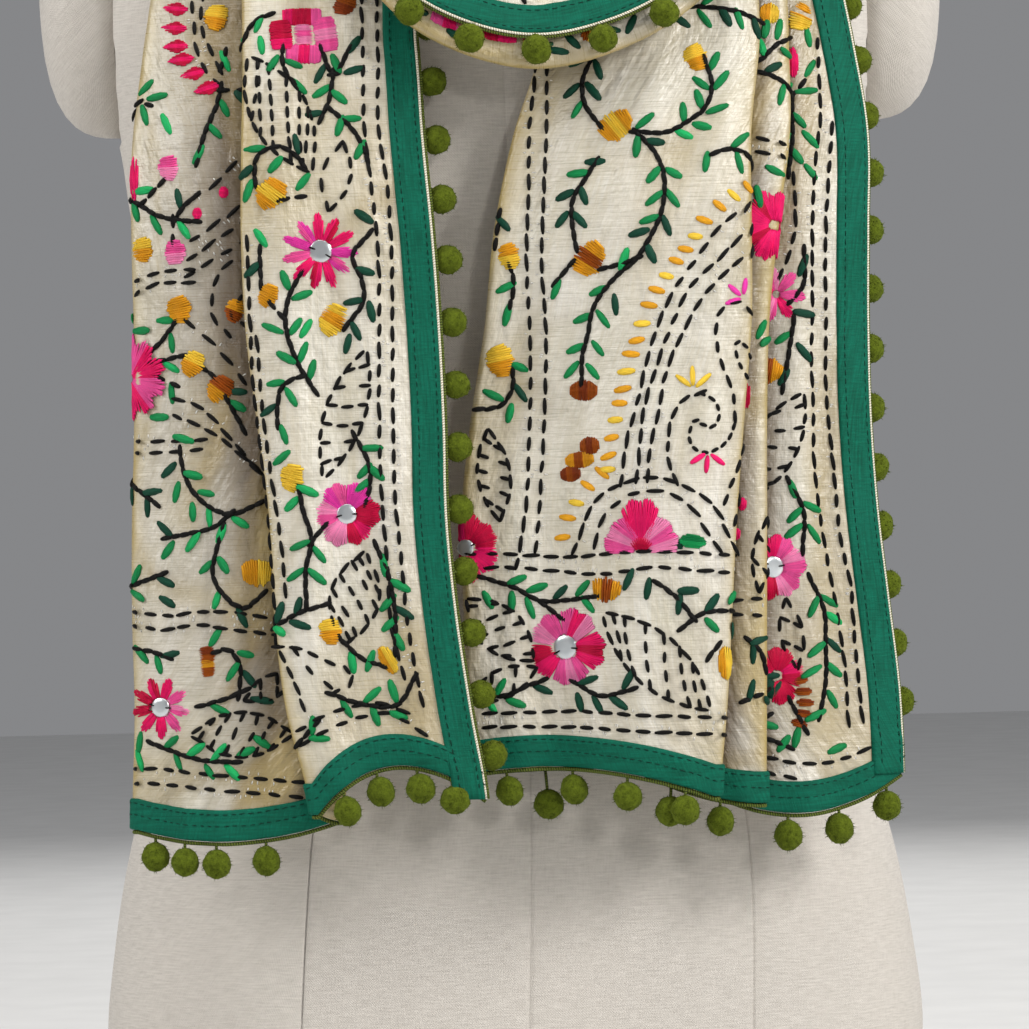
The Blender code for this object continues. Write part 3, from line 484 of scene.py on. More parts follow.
def clothPoints(cloth, flat, along):
    # points on the middle of the cloth, from the unfolded distance from its first edge and the place along it
    flat, along = np.broadcast_arrays(np.asarray(flat, dtype=float), np.asarray(along, dtype=float))
    flat, along = flat.ravel(), along.ravel()
    folds = smoothTable(along, cloth["xs"], cloth["folds"])
    starts = segmentStarts(cloth, folds)
    layers = cloth["layers"]
    radius = layerStep / 2
    segment = segmentOf(flat, starts)
    rowsAll = np.arange(len(flat))
    begin, end = starts[rowsAll, segment], starts[rowsAll, segment + 1]
    share = (flat - begin) / (end - begin)
    deepest = max(layers)
    depth = np.array([(deepest - layer) * layerStep for layer in layers])
    across = np.zeros(len(flat))
    through = np.zeros(len(flat))
    long, fine, crease = rippleHeight(cloth, flat, along)
    for s in range(starts.shape[1] - 1):
        here = segment == s
        if not here.any():
            continue
        f = share[here]
        if s % 2:
            run = (s + 1) // 2
            way = np.sign(folds[here, run] - folds[here, run - 1])
            half = (depth[run - 1] - depth[run]) / 2
            across[here] = folds[here, run] - way * radius + way * radius * np.sin(math.pi * f)
            through[here] = (depth[run - 1] + depth[run]) / 2 + half * np.cos(math.pi * f)
            continue
        run = s // 2
        way, first = runStart(folds[here], run)
        across[here] = first + way * (flat[here] - begin[here])
        swell = np.zeros(len(f))
        for softRun, centre, halfWidth, rise, slant in cloth["soft"]:
            if softRun == run:
                swell += rise * mm * np.exp(-((f - centre - slant * (along[here] - 0.35)) / halfWidth) ** 2)
        flatten = np.clip(8 * np.clip(f, 0, 1) * (1 - np.clip(f, 0, 1)), 0, 1)  # near a fold the cloth lies plain
        fade = np.clip((clothValues["softTop"] - along[here]) / clothValues["softFade"], 0, 1)
        high = clothValues["ripple"]
        if cloth["kind"] == "hanging" and layers[run] == 0:  # the front run has room to stand out
            high = high + (clothValues["frontRipple"] - high) * smoothStep(*clothValues["loose"], along[here])
        ripple = high * (long[here] + 0.25) + clothValues["crinkle"] * fine[here]
        ripple = ripple - clothValues["crease"] * crease[here]
        through[here] = depth[run] + (swell * fade + ripple) * flatten
    if cloth["kind"] == "bundle":
        origin = smoothTable(along, cloth["xs"], cloth["base"])
        u = smoothTable(along, cloth["xs"], cloth["across"])
        n = smoothTable(along, cloth["xs"], cloth["through"])
        return origin + u * across[:, None] + n * (through - 1.5 * layerStep)[:, None]
    rows = np.array(pathRows, dtype=float)
    depthPath, lean, tilt = smoothTable(along / mm, rows[:, 0], rows[:, 1:]).T
    lean = np.radians(lean)
    wrap = clothValues["wrapRate"] * np.maximum(0, np.abs(across) - clothValues["wrapStart"]) ** 2 * np.cos(lean) ** 2
    if cloth["settled"]:
        lies = clothValues["lieBack"] + clothValues["lieBackMore"] * smoothStep(*clothValues["lieBackHeights"], along)
        lies = lies * mm * smoothStep(*clothValues["loose"], along)
        wrap = wrap + lies * smoothStep(clothValues["settleFrom"], clothValues["settleTo"], across)
    y = depthPath * mm + wrap - through * np.cos(lean)
    z = along + through * np.sin(lean) - tilt * (np.abs(across) - clothValues["tiltCentre"])
    return np.stack([across, y, z], axis=1)


def clothFrame(cloth, flat, along):
    # points and the directions square to the cloth on its right side
    step = 0.6 * mm
    points = clothPoints(cloth, flat, along)
    flat, along = np.asarray(flat), np.asarray(along)
    alongWay = clothPoints(cloth, flat, along + step) - clothPoints(cloth, flat, along - step)
    flatWay = clothPoints(cloth, flat + step, along) - clothPoints(cloth, flat - step, along)
    return points, unit(np.cross(flatWay, alongWay)) * cloth["facing"]


# each end's last two tuples set the painted shadow beside a covering fold, and how strongly each run shows painted
# fold shade
leftEnd = hangingCloth(leftRows, (0, 1, 2, 3), leftHem, leftSoft, -1, False, ((2, 1, -1, 23 * mm),),
                       (0.5, 1.0, 1.0, 1.0), 3)
rightEnd = hangingCloth(rightRows, (1, 0, 1, 2, 3, 4), rightHem, rightSoft, 1, True,
                        ((3, 2, 1, 8 * mm), (5, 4, 1, 6 * mm)), (1.0, 0.4, 0.4, 1.0, 0.4, 0.4), 8)
cowl, innerPass, outerPass = (bundleCloth(rows, seed) for rows, seed in (
    (cowlRows, 21), (innerPassRows, 22), (outerPassRows, 23)))
for cloth in (cowl, innerPass, outerPass):  # the right side of the outermost run faces away from the layers under it
    middle = np.array([cloth["xs"][-1] / 2])
    starts = startsAt(cloth, middle)
    _, normal = clothFrame(cloth, (starts[:, 6] + starts[:, 7]) / 2, middle)
    cloth["facing"] = -float(np.sign(normal[0] @ smoothTable(middle, cloth["xs"], cloth["through"])[0]))


paintedShadeValues = {  # how strongly painted shade browns the silk in each fold and ripple, and how strongly painted sheen and shade turn it gold
    "ripple": 0.55, "rippleFrom": 0.12, "crease": 0.5, "crinkle": 0.10, "cover": 1.25, "most": 0.94,
    "goldEdge": 0.5, "edgeWidth": 5.0 * mm, "goldFrom": 0.08, "goldDip": 1.3, "goldCrease": 0.3, "goldMost": 0.8,
}


def paintedShadeShare(cloth, flat, along):
    # painted shade: how deep each place lies in a ripple, crease or crinkle, and painted shadow beside the fold that
    # covers its run
    folds = smoothTable(along, cloth["xs"], cloth["folds"])
    starts = segmentStarts(cloth, folds)
    segment = segmentOf(flat, starts)
    long, fine, crease = rippleHeight(cloth, flat, along)
    paintedFoldStrength = np.array(cloth["paintedFoldStrength"])[segment // 2]
    share = (paintedShadeValues["ripple"] * np.clip(-long - paintedShadeValues["rippleFrom"], 0, 1)
             + paintedShadeValues["crease"] * crease * np.clip(0.5 - long, 0, 1)) * paintedFoldStrength
    share = share + paintedShadeValues["crinkle"] * np.clip(-fine, 0, 1)
    for run, cover, way, reach in cloth["covers"]:
        here = segment == 2 * run
        side, first = runStart(folds, run)
        x = first + side * (flat - starts[:, 2 * run])
        off = np.maximum(0.0, (x - folds[:, cover]) * way)
        share = np.where(here, share + paintedShadeValues["cover"] * np.exp(-off / reach), share)
    return np.clip(share, 0, paintedShadeValues["most"])


def paintedSheenAndShadeShare(cloth, flat, along):
    # how much each place shows gold: painted sheen near a fold's edge and on the left flank of each long ripple,
    # painted shade in dips and creases
    starts = startsAt(cloth, along)
    middles = (starts[:, 1:-1:2] + starts[:, 2:-1:2]) / 2
    segment = segmentOf(flat, starts)
    near = np.exp(-(np.abs(flat[:, None] - middles).min(axis=1) / paintedShadeValues["edgeWidth"]) ** 2)
    step = 1.5 * mm
    long, _, crease = rippleHeight(cloth, flat, along)
    slope = rippleHeight(cloth, flat + step, along)[0] - rippleHeight(cloth, flat - step, along)[0]
    start = paintedShadeValues["goldFrom"]
    shot = (np.clip(slope - start, 0, 0.45) + paintedShadeValues["goldDip"] * np.clip(-long - start, 0, 0.6)
            + paintedShadeValues["goldCrease"] * crease) * np.array(cloth["paintedFoldStrength"])[segment // 2]
    return np.clip(paintedShadeValues["goldEdge"] * near + shot, 0, paintedShadeValues["goldMost"])


def flatSpots(cloth, along, coarse):
    # unfolded places across the cloth at one height: even along each run, closer round each fold
    starts = startsAt(cloth, along)
    widths = np.diff(segmentStarts(cloth, cloth["folds"]), axis=1).max(axis=0)
    spots = []
    for s in range(starts.shape[1] - 1):
        count = 7 if s % 2 else max(4, int(math.ceil(widths[s] / coarse)))
        share = np.arange(count) / count
        spots.append(starts[:, s:s + 1] + (starts[:, s + 1:s + 2] - starts[:, s:s + 1]) * share)
    spots.append(starts[:, -1:])
    return np.concatenate(spots, axis=1), starts


def hemHeight(cloth, flat, starts):
    # height of the hem at each unfolded place
    low = np.zeros(len(flat))
    for i, value in enumerate(flat):
        s = int(np.clip((value >= starts[:-1]).sum() - 1, 0, len(starts) - 2))
        run = (s + 1) // 2
        start, middle, end = cloth["hem"][run]
        f = 0.0 if s % 2 else (value - starts[s]) / (starts[s + 1] - starts[s])
        low[i] = start * (f - 0.5) * (f - 1) * 2 + middle * 4 * f * (1 - f) + end * f * (f - 0.5) * 2
    return low * mm


def columnsOf(flat, starts):
    # which run or fold arc each unfolded place is in, and its share of it
    segment = segmentOf(flat, starts[None])
    return segment, (flat - starts[segment]) / (starts[segment + 1] - starts[segment])


def flatAt(cloth, columns, along):
    # unfolded places of the same columns at other heights
    segment, share = columns
    segment, share = np.broadcast_to(segment, along.shape).ravel(), np.broadcast_to(share, along.shape).ravel()
    starts = startsAt(cloth, along.ravel())
    every = np.arange(along.size)
    begin, end = starts[every, segment], starts[every, segment + 1]
    return (begin + (end - begin) * share).reshape(along.shape)


def hemColumns(cloth, coarse):
    # the columns at the hem, and the hem's height at each
    spots, starts = flatSpots(cloth, clothValues["hemSample"], coarse)
    return columnsOf(spots[0], starts[0]), hemHeight(cloth, spots[0], starts[0])


def hangingLayout(cloth, coarse, rowStep):
    # unfolded places and heights of a fine grid: rows from the hem to the shoulder
    columns, low = hemColumns(cloth, coarse)
    heights = [low + tapeWidth * t for t in (0.0, 0.25, 0.5, 0.75, 1.0)]
    count = int(round((blendTop - low.mean() - tapeWidth) / rowStep))
    for i in range(1, count + 1):
        heights.append(low + tapeWidth + (blendTop - low - tapeWidth) * i / count)
    top = np.linspace(blendTop, shoulder, int(round((shoulder - blendTop) / rowStep)) + 1)[1:]
    heights += [np.full(len(low), h) for h in top]
    along = np.array(heights)
    return flatAt(cloth, columns, along), along


def bundleLayout(cloth, coarse, rowStep, trim=0.0):
    length = cloth["xs"][-1]
    way = np.linspace(trim, length - trim, int(round(length / rowStep)) + 1)
    spots, _ = flatSpots(cloth, way, coarse)
    return spots, np.repeat(way[:, None], spots.shape[1], axis=1)


def wallFaces(rows, cols):
    # both faces and the four edges of a sheet with a wall
    half = rows * cols
    faces = []
    for i in range(rows - 1):
        for k in range(cols - 1):
            a = i * cols + k
            faces.append((a, a + 1, a + cols + 1, a + cols))
            faces.append((half + a, half + a + cols, half + a + cols + 1, half + a + 1))
    for k in range(cols - 1):
        top = (rows - 1) * cols + k
        faces.append((k + 1, k, half + k, half + k + 1))
        faces.append((top, top + 1, half + top + 1, half + top))
    for i in range(rows - 1):
        a, b = i * cols, i * cols + cols - 1
        faces.append((a, a + cols, half + a + cols, half + a))
        faces.append((b + cols, b, half + b, half + b + cols))
    return faces


def buildMesh(name, points, faces, material, uv=None, smooth=True):
    # a plain mesh at the origin whose faces point outwards
    points = np.asarray(points, dtype=float)
    ends = np.array([(*face[:3], face[3] if len(face) > 3 else face[0]) for face in faces])
    a, b, c, d = (points[ends[:, i]] for i in range(4))
    total = float((a * np.cross(b, c)).sum() + (a * np.cross(c, d)).sum())
    if total < 0:
        faces = [tuple(reversed(face)) for face in faces]
    mesh = bpy.data.meshes.new(name)
    mesh.from_pydata(points.tolist(), [], faces)
    if uv is not None:
        layer = mesh.uv_layers.new(name="cloth")
        corners = np.array([v for face in faces for v in face])
        layer.data.foreach_set("uv", np.asarray(uv)[corners].astype(np.float32).ravel())
    mesh.materials.append(material)
    mesh.update()
    if smooth:
        mesh.shade_smooth()
    item = bpy.data.objects.new(name, mesh)
    scene.collection.objects.link(item)
    return item


def clothSheet(name, cloth, layout, material):
    flat, along = layout
    points, normals = clothFrame(cloth, flat, along)
    rows, cols = flat.shape
    both = np.concatenate([points + normals * wall / 2, points - normals * wall / 2])
    uv = np.stack([flat.ravel(), along.ravel()], axis=1)
    piece = buildMesh(name, both, wallFaces(rows, cols), material, np.concatenate([uv, uv + (0.37, 0.11)]))
    # the silk's painted shade in folds and ripples, and its painted sheen and shade where it turns gold
    for key, measure in (("paintedShade", paintedShadeShare), ("turn", paintedSheenAndShadeShare)):
        value = measure(cloth, flat.ravel(), along.ravel()).astype(np.float32)
        piece.data.attributes.new(key, "FLOAT", "POINT").data.foreach_set("value", np.concatenate([value, value]))
    return piece


silkValues = {"coarse": 3.2 * mm, "row": 3.4 * mm, "passRow": 4.08 * mm, "passTrim": 0.42 * mm}
leftLayout, rightLayout = (hangingLayout(cloth, silkValues["coarse"], silkValues["row"])
                           for cloth in (leftEnd, rightEnd))
cowlLayout = bundleLayout(cowl, silkValues["coarse"], silkValues["row"])
innerLayout, outerLayout = (bundleLayout(cloth, silkValues["coarse"], silkValues["passRow"], silkValues["passTrim"])
                            for cloth in (innerPass, outerPass))

for name, cloth, layout, node, flatSize, rests in (
        ("silk_left_end", leftEnd, leftLayout, "stole_left_end", (0.265, 0.545), "dress_form_torso"),
        ("silk_right_end", rightEnd, rightLayout, "stole_right_end", (0.315, 0.545), "dress_form_torso"),
        ("silk_cowl", cowl, cowlLayout, "stole_cowl", (0.28, 0.445), "silk_left_end"),
        ("silk_neck_inner", innerPass, innerLayout, "stole_neck_inner", (0.226, 0.28), "dress_form_torso"),
        ("silk_neck_outer", outerPass, outerLayout, "stole_neck_outer", (0.226, 0.33), "silk_neck_inner")):
    piece = clothSheet(name, cloth, layout, shotSilk)
    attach(piece, "root")
    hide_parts(node)
    print(name, len(piece.data.polygons), "faces")

# border tape, laid on the cloth along its edges

tapeValues = {"profile": ((0.0, 0.0), (0.02, 0.7), (0.07, 1.0), (0.28, 0.92), (0.5, 1.0), (0.72, 0.92), (0.93, 1.0),
                          (0.98, 0.7), (1.0, 0.0)), "lift": 1.25 * mm, "corner": 0.75 * mm, "cornerRise": 6 * mm}
profileShares, profileHigh = np.array(tapeValues["profile"]).T


def totalFlat(cloth, along):
    return startsAt(cloth, along)[:, -1]


def edgeFlat(cloth, side, inset, along):
    # unfolded place so far in from the first or the last edge
    return inset + 0 * along if side == "first" else totalFlat(cloth, along) - inset


def layTape(name, cloth, flat, along, lift, material, uv):
    # a band with rounded edges on the right side of the cloth; lift is the height of its face above the cloth
    points, normals = clothFrame(cloth, flat, along)
    rows, cols = flat.shape
    lift = lift.ravel()[:, None]
    both = np.concatenate([points + normals * (wall / 2 + lift), points + normals * (wall / 2 - 0.05 * mm)])
    return buildMesh(name, both, wallFaces(rows, cols), material, np.concatenate([uv, uv]))


def sideTape(name, cloth, side, along, cornerTop):
    # below cornerTop it stands a little higher, because it crosses the hem's tape there
    alongAll = np.repeat(along[:, None], len(profileShares), axis=1)
    flat = np.stack([edgeFlat(cloth, side, tapeWidth * s, along) for s in profileShares], axis=1)
    ridge = tapeValues["corner"] * smoothStep(cornerTop + tapeValues["cornerRise"], cornerTop, alongAll)
    lift = profileHigh[None, :] * (tapeValues["lift"] + ridge) + ridge * 0.4
    uv = np.stack([flat.ravel(), alongAll.ravel()], axis=1)
    return layTape(name, cloth, flat, alongAll, lift, slubTape, uv)


def hemTape(name, cloth):
    columns, low = hemColumns(cloth, silkValues["coarse"])
    along = low[None, :] + tapeWidth * profileShares[:, None]
    flat = flatAt(cloth, columns, along)
    lift = np.repeat(profileHigh[:, None], len(low), axis=1) * tapeValues["lift"]
    uv = np.stack([along.ravel(), flat.ravel()], axis=1)
    return layTape(name, cloth, flat, along, lift, slubTape, uv)


leftLow, rightLow = leftHem[0][0] * mm, rightHem[-1][2] * mm
leftSideAlong, rightSideAlong = (
    np.concatenate([np.linspace(low, blendTop, 90), np.linspace(blendTop + 3 * mm, shoulder, 70)])
    for low in (leftLow, rightLow))
cowlAlong = np.linspace(0, cowl["xs"][-1], 150)

for name, piece in (
        ("tape_left_side", sideTape("green_tape_left_side", leftEnd, "first", leftSideAlong, leftLow + tapeWidth)),
        ("tape_left_hem", hemTape("green_tape_left_hem", leftEnd)),
        ("tape_right_side",
         sideTape("green_tape_right_side", rightEnd, "last", rightSideAlong, rightLow + tapeWidth)),
        ("tape_right_hem", hemTape("green_tape_right_hem", rightEnd)),
        ("tape_cowl", sideTape("green_tape_cowl", cowl, "last", cowlAlong, -1.0))):
    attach(piece, "root")
    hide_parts(name)
passAlong = {}
for name, cloth in (("inner", innerPass), ("outer", outerPass)):
    passAlong[name] = np.linspace(0.6 * mm, cloth["xs"][-1] - 0.6 * mm, 110)
    piece = sideTape("green_tape_neck_" + name, cloth, "last", passAlong[name], -1.0)
    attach(piece, "root")
print("border tapes laid")

# Geometry Nodes: stitches along a path, single stitches, and pompoms on their lace


def startTree(name, sizes):
    # a tree with a geometry input, a shape to repeat, and named sizes
    tree = bpy.data.node_groups.new(name, "GeometryNodeTree")
    for socket, kind in (("Geometry", "Geometry"), ("Shape", "Object"), ("Finish", "Material")):
        tree.interface.new_socket(socket, in_out="INPUT", socket_type="NodeSocket" + kind)
    for size, value in sizes.items():
        kind = "NodeSocketInt" if isinstance(value, int) else "NodeSocketFloat"
        tree.interface.new_socket(size, in_out="INPUT", socket_type=kind).default_value = value
    tree.interface.new_socket("Geometry", in_out="OUTPUT", socket_type="NodeSocketGeometry")
    return tree, addNode(tree, "NodeGroupInput").outputs


def endTree(tree, entry, points, length, along):
    # the shape on each point, turned to the thread's way and the cloth's face, then made real
    up = addNode(tree, "GeometryNodeInputNamedAttribute", {0: "up"}, data_type="FLOAT_VECTOR")
    turn = addNode(tree, "FunctionNodeAxesToRotation", {0: along, 1: up}, primary_axis="X", secondary_axis="Z")
    seed = entry["Seed"]
    wander = addNode(tree, "FunctionNodeRandomValue", {2: -1.0, 3: 1.0, "Seed": seed}, data_type="FLOAT")
    angle = addNode(tree, "ShaderNodeMath", {0: wander, 1: entry["Wander"]}, operation="MULTIPLY")
    spin = addNode(tree, "ShaderNodeCombineXYZ", {2: angle})
    turned = addNode(tree, "FunctionNodeRotateRotation", {0: turn, 1: spin}, rotation_space="LOCAL")
    shape = addNode(tree, "GeometryNodeObjectInfo", {0: entry["Shape"]})
    inputs = {0: points, 2: shape.outputs["Geometry"], 5: turned, 6: length}
    placed = addNode(tree, "GeometryNodeInstanceOnPoints", inputs)
    real = addNode(tree, "GeometryNodeRealizeInstances", {0: placed})
    finished = addNode(tree, "GeometryNodeSetMaterial", {0: real, 2: entry["Finish"]})
    addNode(tree, "NodeGroupOutput", {0: finished})
    return tree


def pathStitchTree():
    # running stitch or backstitch: one stitch for each step along every path
    tree, entry = startTree("stitches_along_paths", {
        "Stitch length": 6.8 * mm, "Gap": 4.2 * mm, "Thread width": 1.5 * mm, "Thread height": 1.0 * mm,
        "Uneven": 0.15, "Wander": 0.05, "Seed": 7})
    curve = addNode(tree, "GeometryNodeMeshToCurve", {0: entry["Geometry"]})
    pitch = addNode(tree, "ShaderNodeMath", {0: entry["Stitch length"], 1: entry["Gap"]}, operation="ADD")
    even = addNode(tree, "GeometryNodeResampleCurve", {0: curve, "Length": pitch}, mode="LENGTH")
    random = addNode(tree, "FunctionNodeRandomValue", {2: -1.0, 3: 1.0, "Seed": entry["Seed"]}, data_type="FLOAT")
    uneven = addNode(tree, "ShaderNodeMath", {0: random, 1: entry["Uneven"], 2: 1.0}, operation="MULTIPLY_ADD")
    length = addNode(tree, "ShaderNodeMath", {0: uneven, 1: entry["Stitch length"]}, operation="MULTIPLY")
    size = addNode(tree, "ShaderNodeCombineXYZ", {0: length, 1: entry["Thread width"], 2: entry["Thread height"]})
    tangent = addNode(tree, "GeometryNodeInputTangent")
    return endTree(tree, entry, even, size, tangent)


def singleStitchTree():
    # satin stitches, leaves and holding stitches: each point says its own way and size
    tree, entry = startTree("single_stitches", {"Wander": 0.04, "Seed": 11})
    along = addNode(tree, "GeometryNodeInputNamedAttribute", {0: "along"}, data_type="FLOAT_VECTOR")
    size = addNode(tree, "GeometryNodeInputNamedAttribute", {0: "size"}, data_type="FLOAT_VECTOR")
    return endTree(tree, entry, entry["Geometry"], size, along)


def ringFaces(rings, sides, first=0):
    # faces between rings of as many points each
    faces = []
    for a in range(first, first + (rings - 1) * sides, sides):
        faces += [(a + k, a + (k + 1) % sides, a + sides + (k + 1) % sides, a + sides + k) for k in range(sides)]
    return faces


def spindleFaces(rings, sides):
    # the same, closed by a first and a last point
    last = 1 + rings * sides
    top = last - sides
    return ([(0, 1 + (k + 1) % sides, 1 + k) for k in range(sides)] + ringFaces(rings, sides, 1)
            + [(top + k, top + (k + 1) % sides, last) for k in range(sides)])


def threadShape(name, stations, ring):
    # one stitch: unit long, unit wide and high, lying on its flat underside, pointed into the cloth at both ends
    sink = -0.12
    points, uv = [(-0.5, 0, sink)], [(0, 0.5)]
    for x, width, high in stations:
        for i, (y, z) in enumerate(ring):
            points.append((x, y * width, z * high + sink))
            uv.append((x + 0.5, i / len(ring)))
    points.append((0.5, 0, sink))
    uv.append((1, 0.5))
    item = buildMesh(name, points, spindleFaces(len(stations), len(ring)), flossThread, uv)
    item.data.uv_layers[0].name = "thread"
    return item


thinRing = ((-0.5, 0.1), (0.0, 1.0), (0.5, 0.1), (0.0, -0.2))
fatStitch = threadShape(
    "fat_stitch", ((-0.45, 0.58, 0.5), (-0.27, 0.92, 0.95), (0.0, 1.04, 1.12), (0.27, 0.92, 0.95), (0.45, 0.58, 0.5)),
    ((-0.5, 0.0), (-0.36, 0.7), (0.0, 1.0), (0.36, 0.7), (0.5, 0.0)))
leafStitch = threadShape(
    "leaf_stitch", ((-0.44, 0.55, 0.6), (-0.2, 0.95, 1.0), (0.14, 1.0, 1.05), (0.42, 0.62, 0.65)),
    ((-0.5, 0.0), (-0.34, 0.66), (0.0, 0.86), (0.34, 0.66), (0.5, 0.0)))
seamStitch = threadShape("seam_stitch", ((-0.42, 0.6, 0.6), (0.0, 1.0, 1.1), (0.42, 0.6, 0.6)), thinRing)
satinStitch = threadShape("satin_stitch", ((-0.44, 0.85, 0.6), (0.0, 1.0, 1.1), (0.44, 0.85, 0.6)), thinRing)
pathTree = pathStitchTree()
singleTree = singleStitchTree()


def growPiece(name, carrier, tree, values):
    # runs a tree on the carrier's points and keeps what it makes as a plain mesh
    modifier = carrier.modifiers.new("stitches", "NODES")
    modifier.node_group = tree
    ids = {item.name: item.identifier for item in tree.interface.items_tree if item.in_out == "INPUT"}
    for key, value in values.items():
        modifier[ids[key]] = value
    graph = bpy.context.evaluated_depsgraph_get()
    graph.update()
    grown = carrier.evaluated_get(graph)
    mesh = bpy.data.meshes.new_from_object(grown, preserve_all_data_layers=True, depsgraph=graph)
    mesh.name = name
    carrier.modifiers.remove(modifier)
    bpy.data.objects.remove(carrier)
    piece = bpy.data.objects.new(name, mesh)
    scene.collection.objects.link(piece)
    mesh.shade_smooth()
    return piece


def makeCarrier(points, edges, vectors, colours):
    # the points that a tree grows its shapes on, with the ways, sizes and colours they need
    mesh = bpy.data.meshes.new("carrier")
    mesh.from_pydata(np.asarray(points).tolist(), edges, [])
    for key, values in vectors.items():
        values = np.asarray(values, np.float32).ravel()
        mesh.attributes.new(key, "FLOAT_VECTOR", "POINT").data.foreach_set("vector", values)
    if colours is not None:
        values = np.concatenate([np.asarray(colours), np.ones((len(points), 1))], axis=1).astype(np.float32)
        mesh.attributes.new("threadColour", "FLOAT_COLOR", "POINT").data.foreach_set("color", values.ravel())
    carrier = bpy.data.objects.new("carrier", mesh)
    scene.collection.objects.link(carrier)
    return carrier


def joinPieces(name, pieces):
    # several grown pieces as one object
    with bpy.context.temp_override(active_object=pieces[0], selected_editable_objects=pieces):
        bpy.ops.object.join()
    pieces[0].name = pieces[0].data.name = name
    return pieces[0]


# piping, lace and pompoms along each edge

trimValues = {
    "pompomRadius": 6.0 * mm, "pompomStep": 26 * mm, "pipingRadius": 0.6 * mm, "pipingOut": 0.25 * mm,
    "pipingLift": 0.95 * mm, "laceRadius": 0.85 * mm, "laceOut": 1.1 * mm, "neckRadius": 0.7 * mm, "seed": 5,
    "hairs": 150, "ballSteps": 13, "ballSides": 22,
}


def cordAlong(name, line, facing, radius, flatten, material, sides=8):
    # a thin cord swept along a line, flattened square to its facing side, closed at both ends
    tangent = unit(np.gradient(line, axis=0))
    up = unit(facing - tangent * (facing * tangent).sum(axis=1, keepdims=True))
    side = np.cross(tangent, up)
    way = lengthsAlong(line)
    points, uv = [], []
    for k in range(sides):
        a = 2 * math.pi * k / sides
        points.append(line + side * math.cos(a) * radius + up * math.sin(a) * radius * flatten)
        uv.append(np.stack([np.full(len(line), k / sides), way], axis=1))
    points, uv = np.stack(points, axis=1).reshape(-1, 3), np.stack(uv, axis=1).reshape(-1, 2)
    faces = ringFaces(len(line), sides)
    faces += [tuple(range(sides))[::-1], tuple(range((len(line) - 1) * sides, len(line) * sides))]
    return buildMesh(name, points, faces, material, uv)


def edgePath(cloth, flat, along, inFlat, inAlong):
    # the line of an edge, the way out of the cloth and the facing direction
    points, normals = clothFrame(cloth, flat, along)
    inside = clothPoints(cloth, inFlat, inAlong)
    return points, unit(points - inside), normals


def feltBall():
    # hand-rolled ball: round with soft dents and short loose fibres
    random = np.random.default_rng(trimValues["seed"])
    steps, sides = trimValues["ballSteps"], trimValues["ballSides"]
    points = [(0, 0, -1.0)]
    for i in range(1, steps):
        polar = math.pi * i / steps
        for k in range(sides):
            turn = 2 * math.pi * (k + 0.5 * (i % 2)) / sides
            points.append((math.sin(polar) * math.cos(turn), math.sin(polar) * math.sin(turn), -math.cos(polar)))
    points.append((0, 0, 1.0))
    points = np.array(points)
    dent = softNoise(points[:, 0] * 2.3 + 9, points[:, 1] * 2.3 + points[:, 2] * 2.1 + 5, 31) * 0.055
    dent += softNoise(points[:, 2] * 5.5 + 20, points[:, 1] * 5.5 - points[:, 0] * 4.7 + 7, 32) * 0.04
    points = [tuple(p) for p in points * (1 + dent)[:, None]]
    faces = spindleFaces(steps - 1, sides)
    for _ in range(trimValues["hairs"]):
        out = unit(random.normal(size=3))
        lean = unit(out + 0.9 * random.normal(size=3))
        side = unit(np.cross(lean, random.normal(size=3)))
        other = np.cross(lean, side)
        root, size = out * 0.96, 0.035
        base = len(points)
        for turn in (0, 2.09, 4.19):  # a third of a turn apart
            points.append(tuple(root + (side * math.cos(turn) + other * math.sin(turn)) * size))
        points.append(tuple(root + lean * random.uniform(0.16, 0.30)))
        faces += [tuple(base + k for k in face) for face in ((2, 1, 0), (0, 1, 3), (1, 2, 3), (2, 0, 3))]
    return buildMesh("felt_ball", points, faces, woolFelt)


ball = feltBall()


def onLine(line, way, place):
    # the point or direction so far along a line
    return np.array([np.interp(place, way, line[:, i]) for i in range(line.shape[1])])


def trimPiece(name, line, out, facing, places, hang):
    # lace braid just beyond the edge, with a pompom hung from it at each place
    random = np.random.default_rng(trimValues["seed"] + len(name))
    laceOut = trimValues["laceOut"]
    braid = cordAlong(name + "_braid", line + out * laceOut, facing, trimValues["laceRadius"], 0.7, laceBraid)
    way = lengthsAlong(line)
    centres, aways, sizes, necks = [], [], [], []
    for place, extra in places:
        spot = onLine(line, way, place)
        outwards, square = unit(onLine(out, way, place)), unit(onLine(facing, way, place))
        fall, back = hang(spot)
        centre = spot + outwards * (1.9 * mm + fall + extra) - square * back
        centres.append(centre)
        aways.append(unit(centre - spot + 0.5 * mm * random.normal(size=3)))
        sizes.append(trimValues["pompomRadius"] * random.uniform(0.98, 1.10, 3))
        neckLine = np.array([spot + outwards * laceOut, (spot + centre) / 2 + outwards * 1.0 * mm, centre])
        neckSide = np.tile(np.cross(outwards, [0.3, 0.5, 0.81]), (3, 1))
        necks.append(cordAlong(name + "_neck", neckLine, neckSide, trimValues["neckRadius"], 1.0, laceBraid, 5))
    carrier = makeCarrier(centres, [], {"along": aways, "up": np.cross(aways, [0.2, 0.93, 0.3]), "size": sizes}, None)
    values = {"Shape": ball, "Finish": woolFelt, "Wander": 0.3, "Seed": 3}
    return joinPieces(name, [growPiece(name + "_balls", carrier, singleTree, values), braid] + necks)


def spacedPlaces(line, first, last):
    # even places between two shares of the line, each with how much further it hangs
    total = float(lengthsAlong(line)[-1])
    count = max(1, int(round(total * (last - first) / trimValues["pompomStep"])))
    return [(total * (first + (last - first) * i / count), 0.0) for i in range(count + 1)]


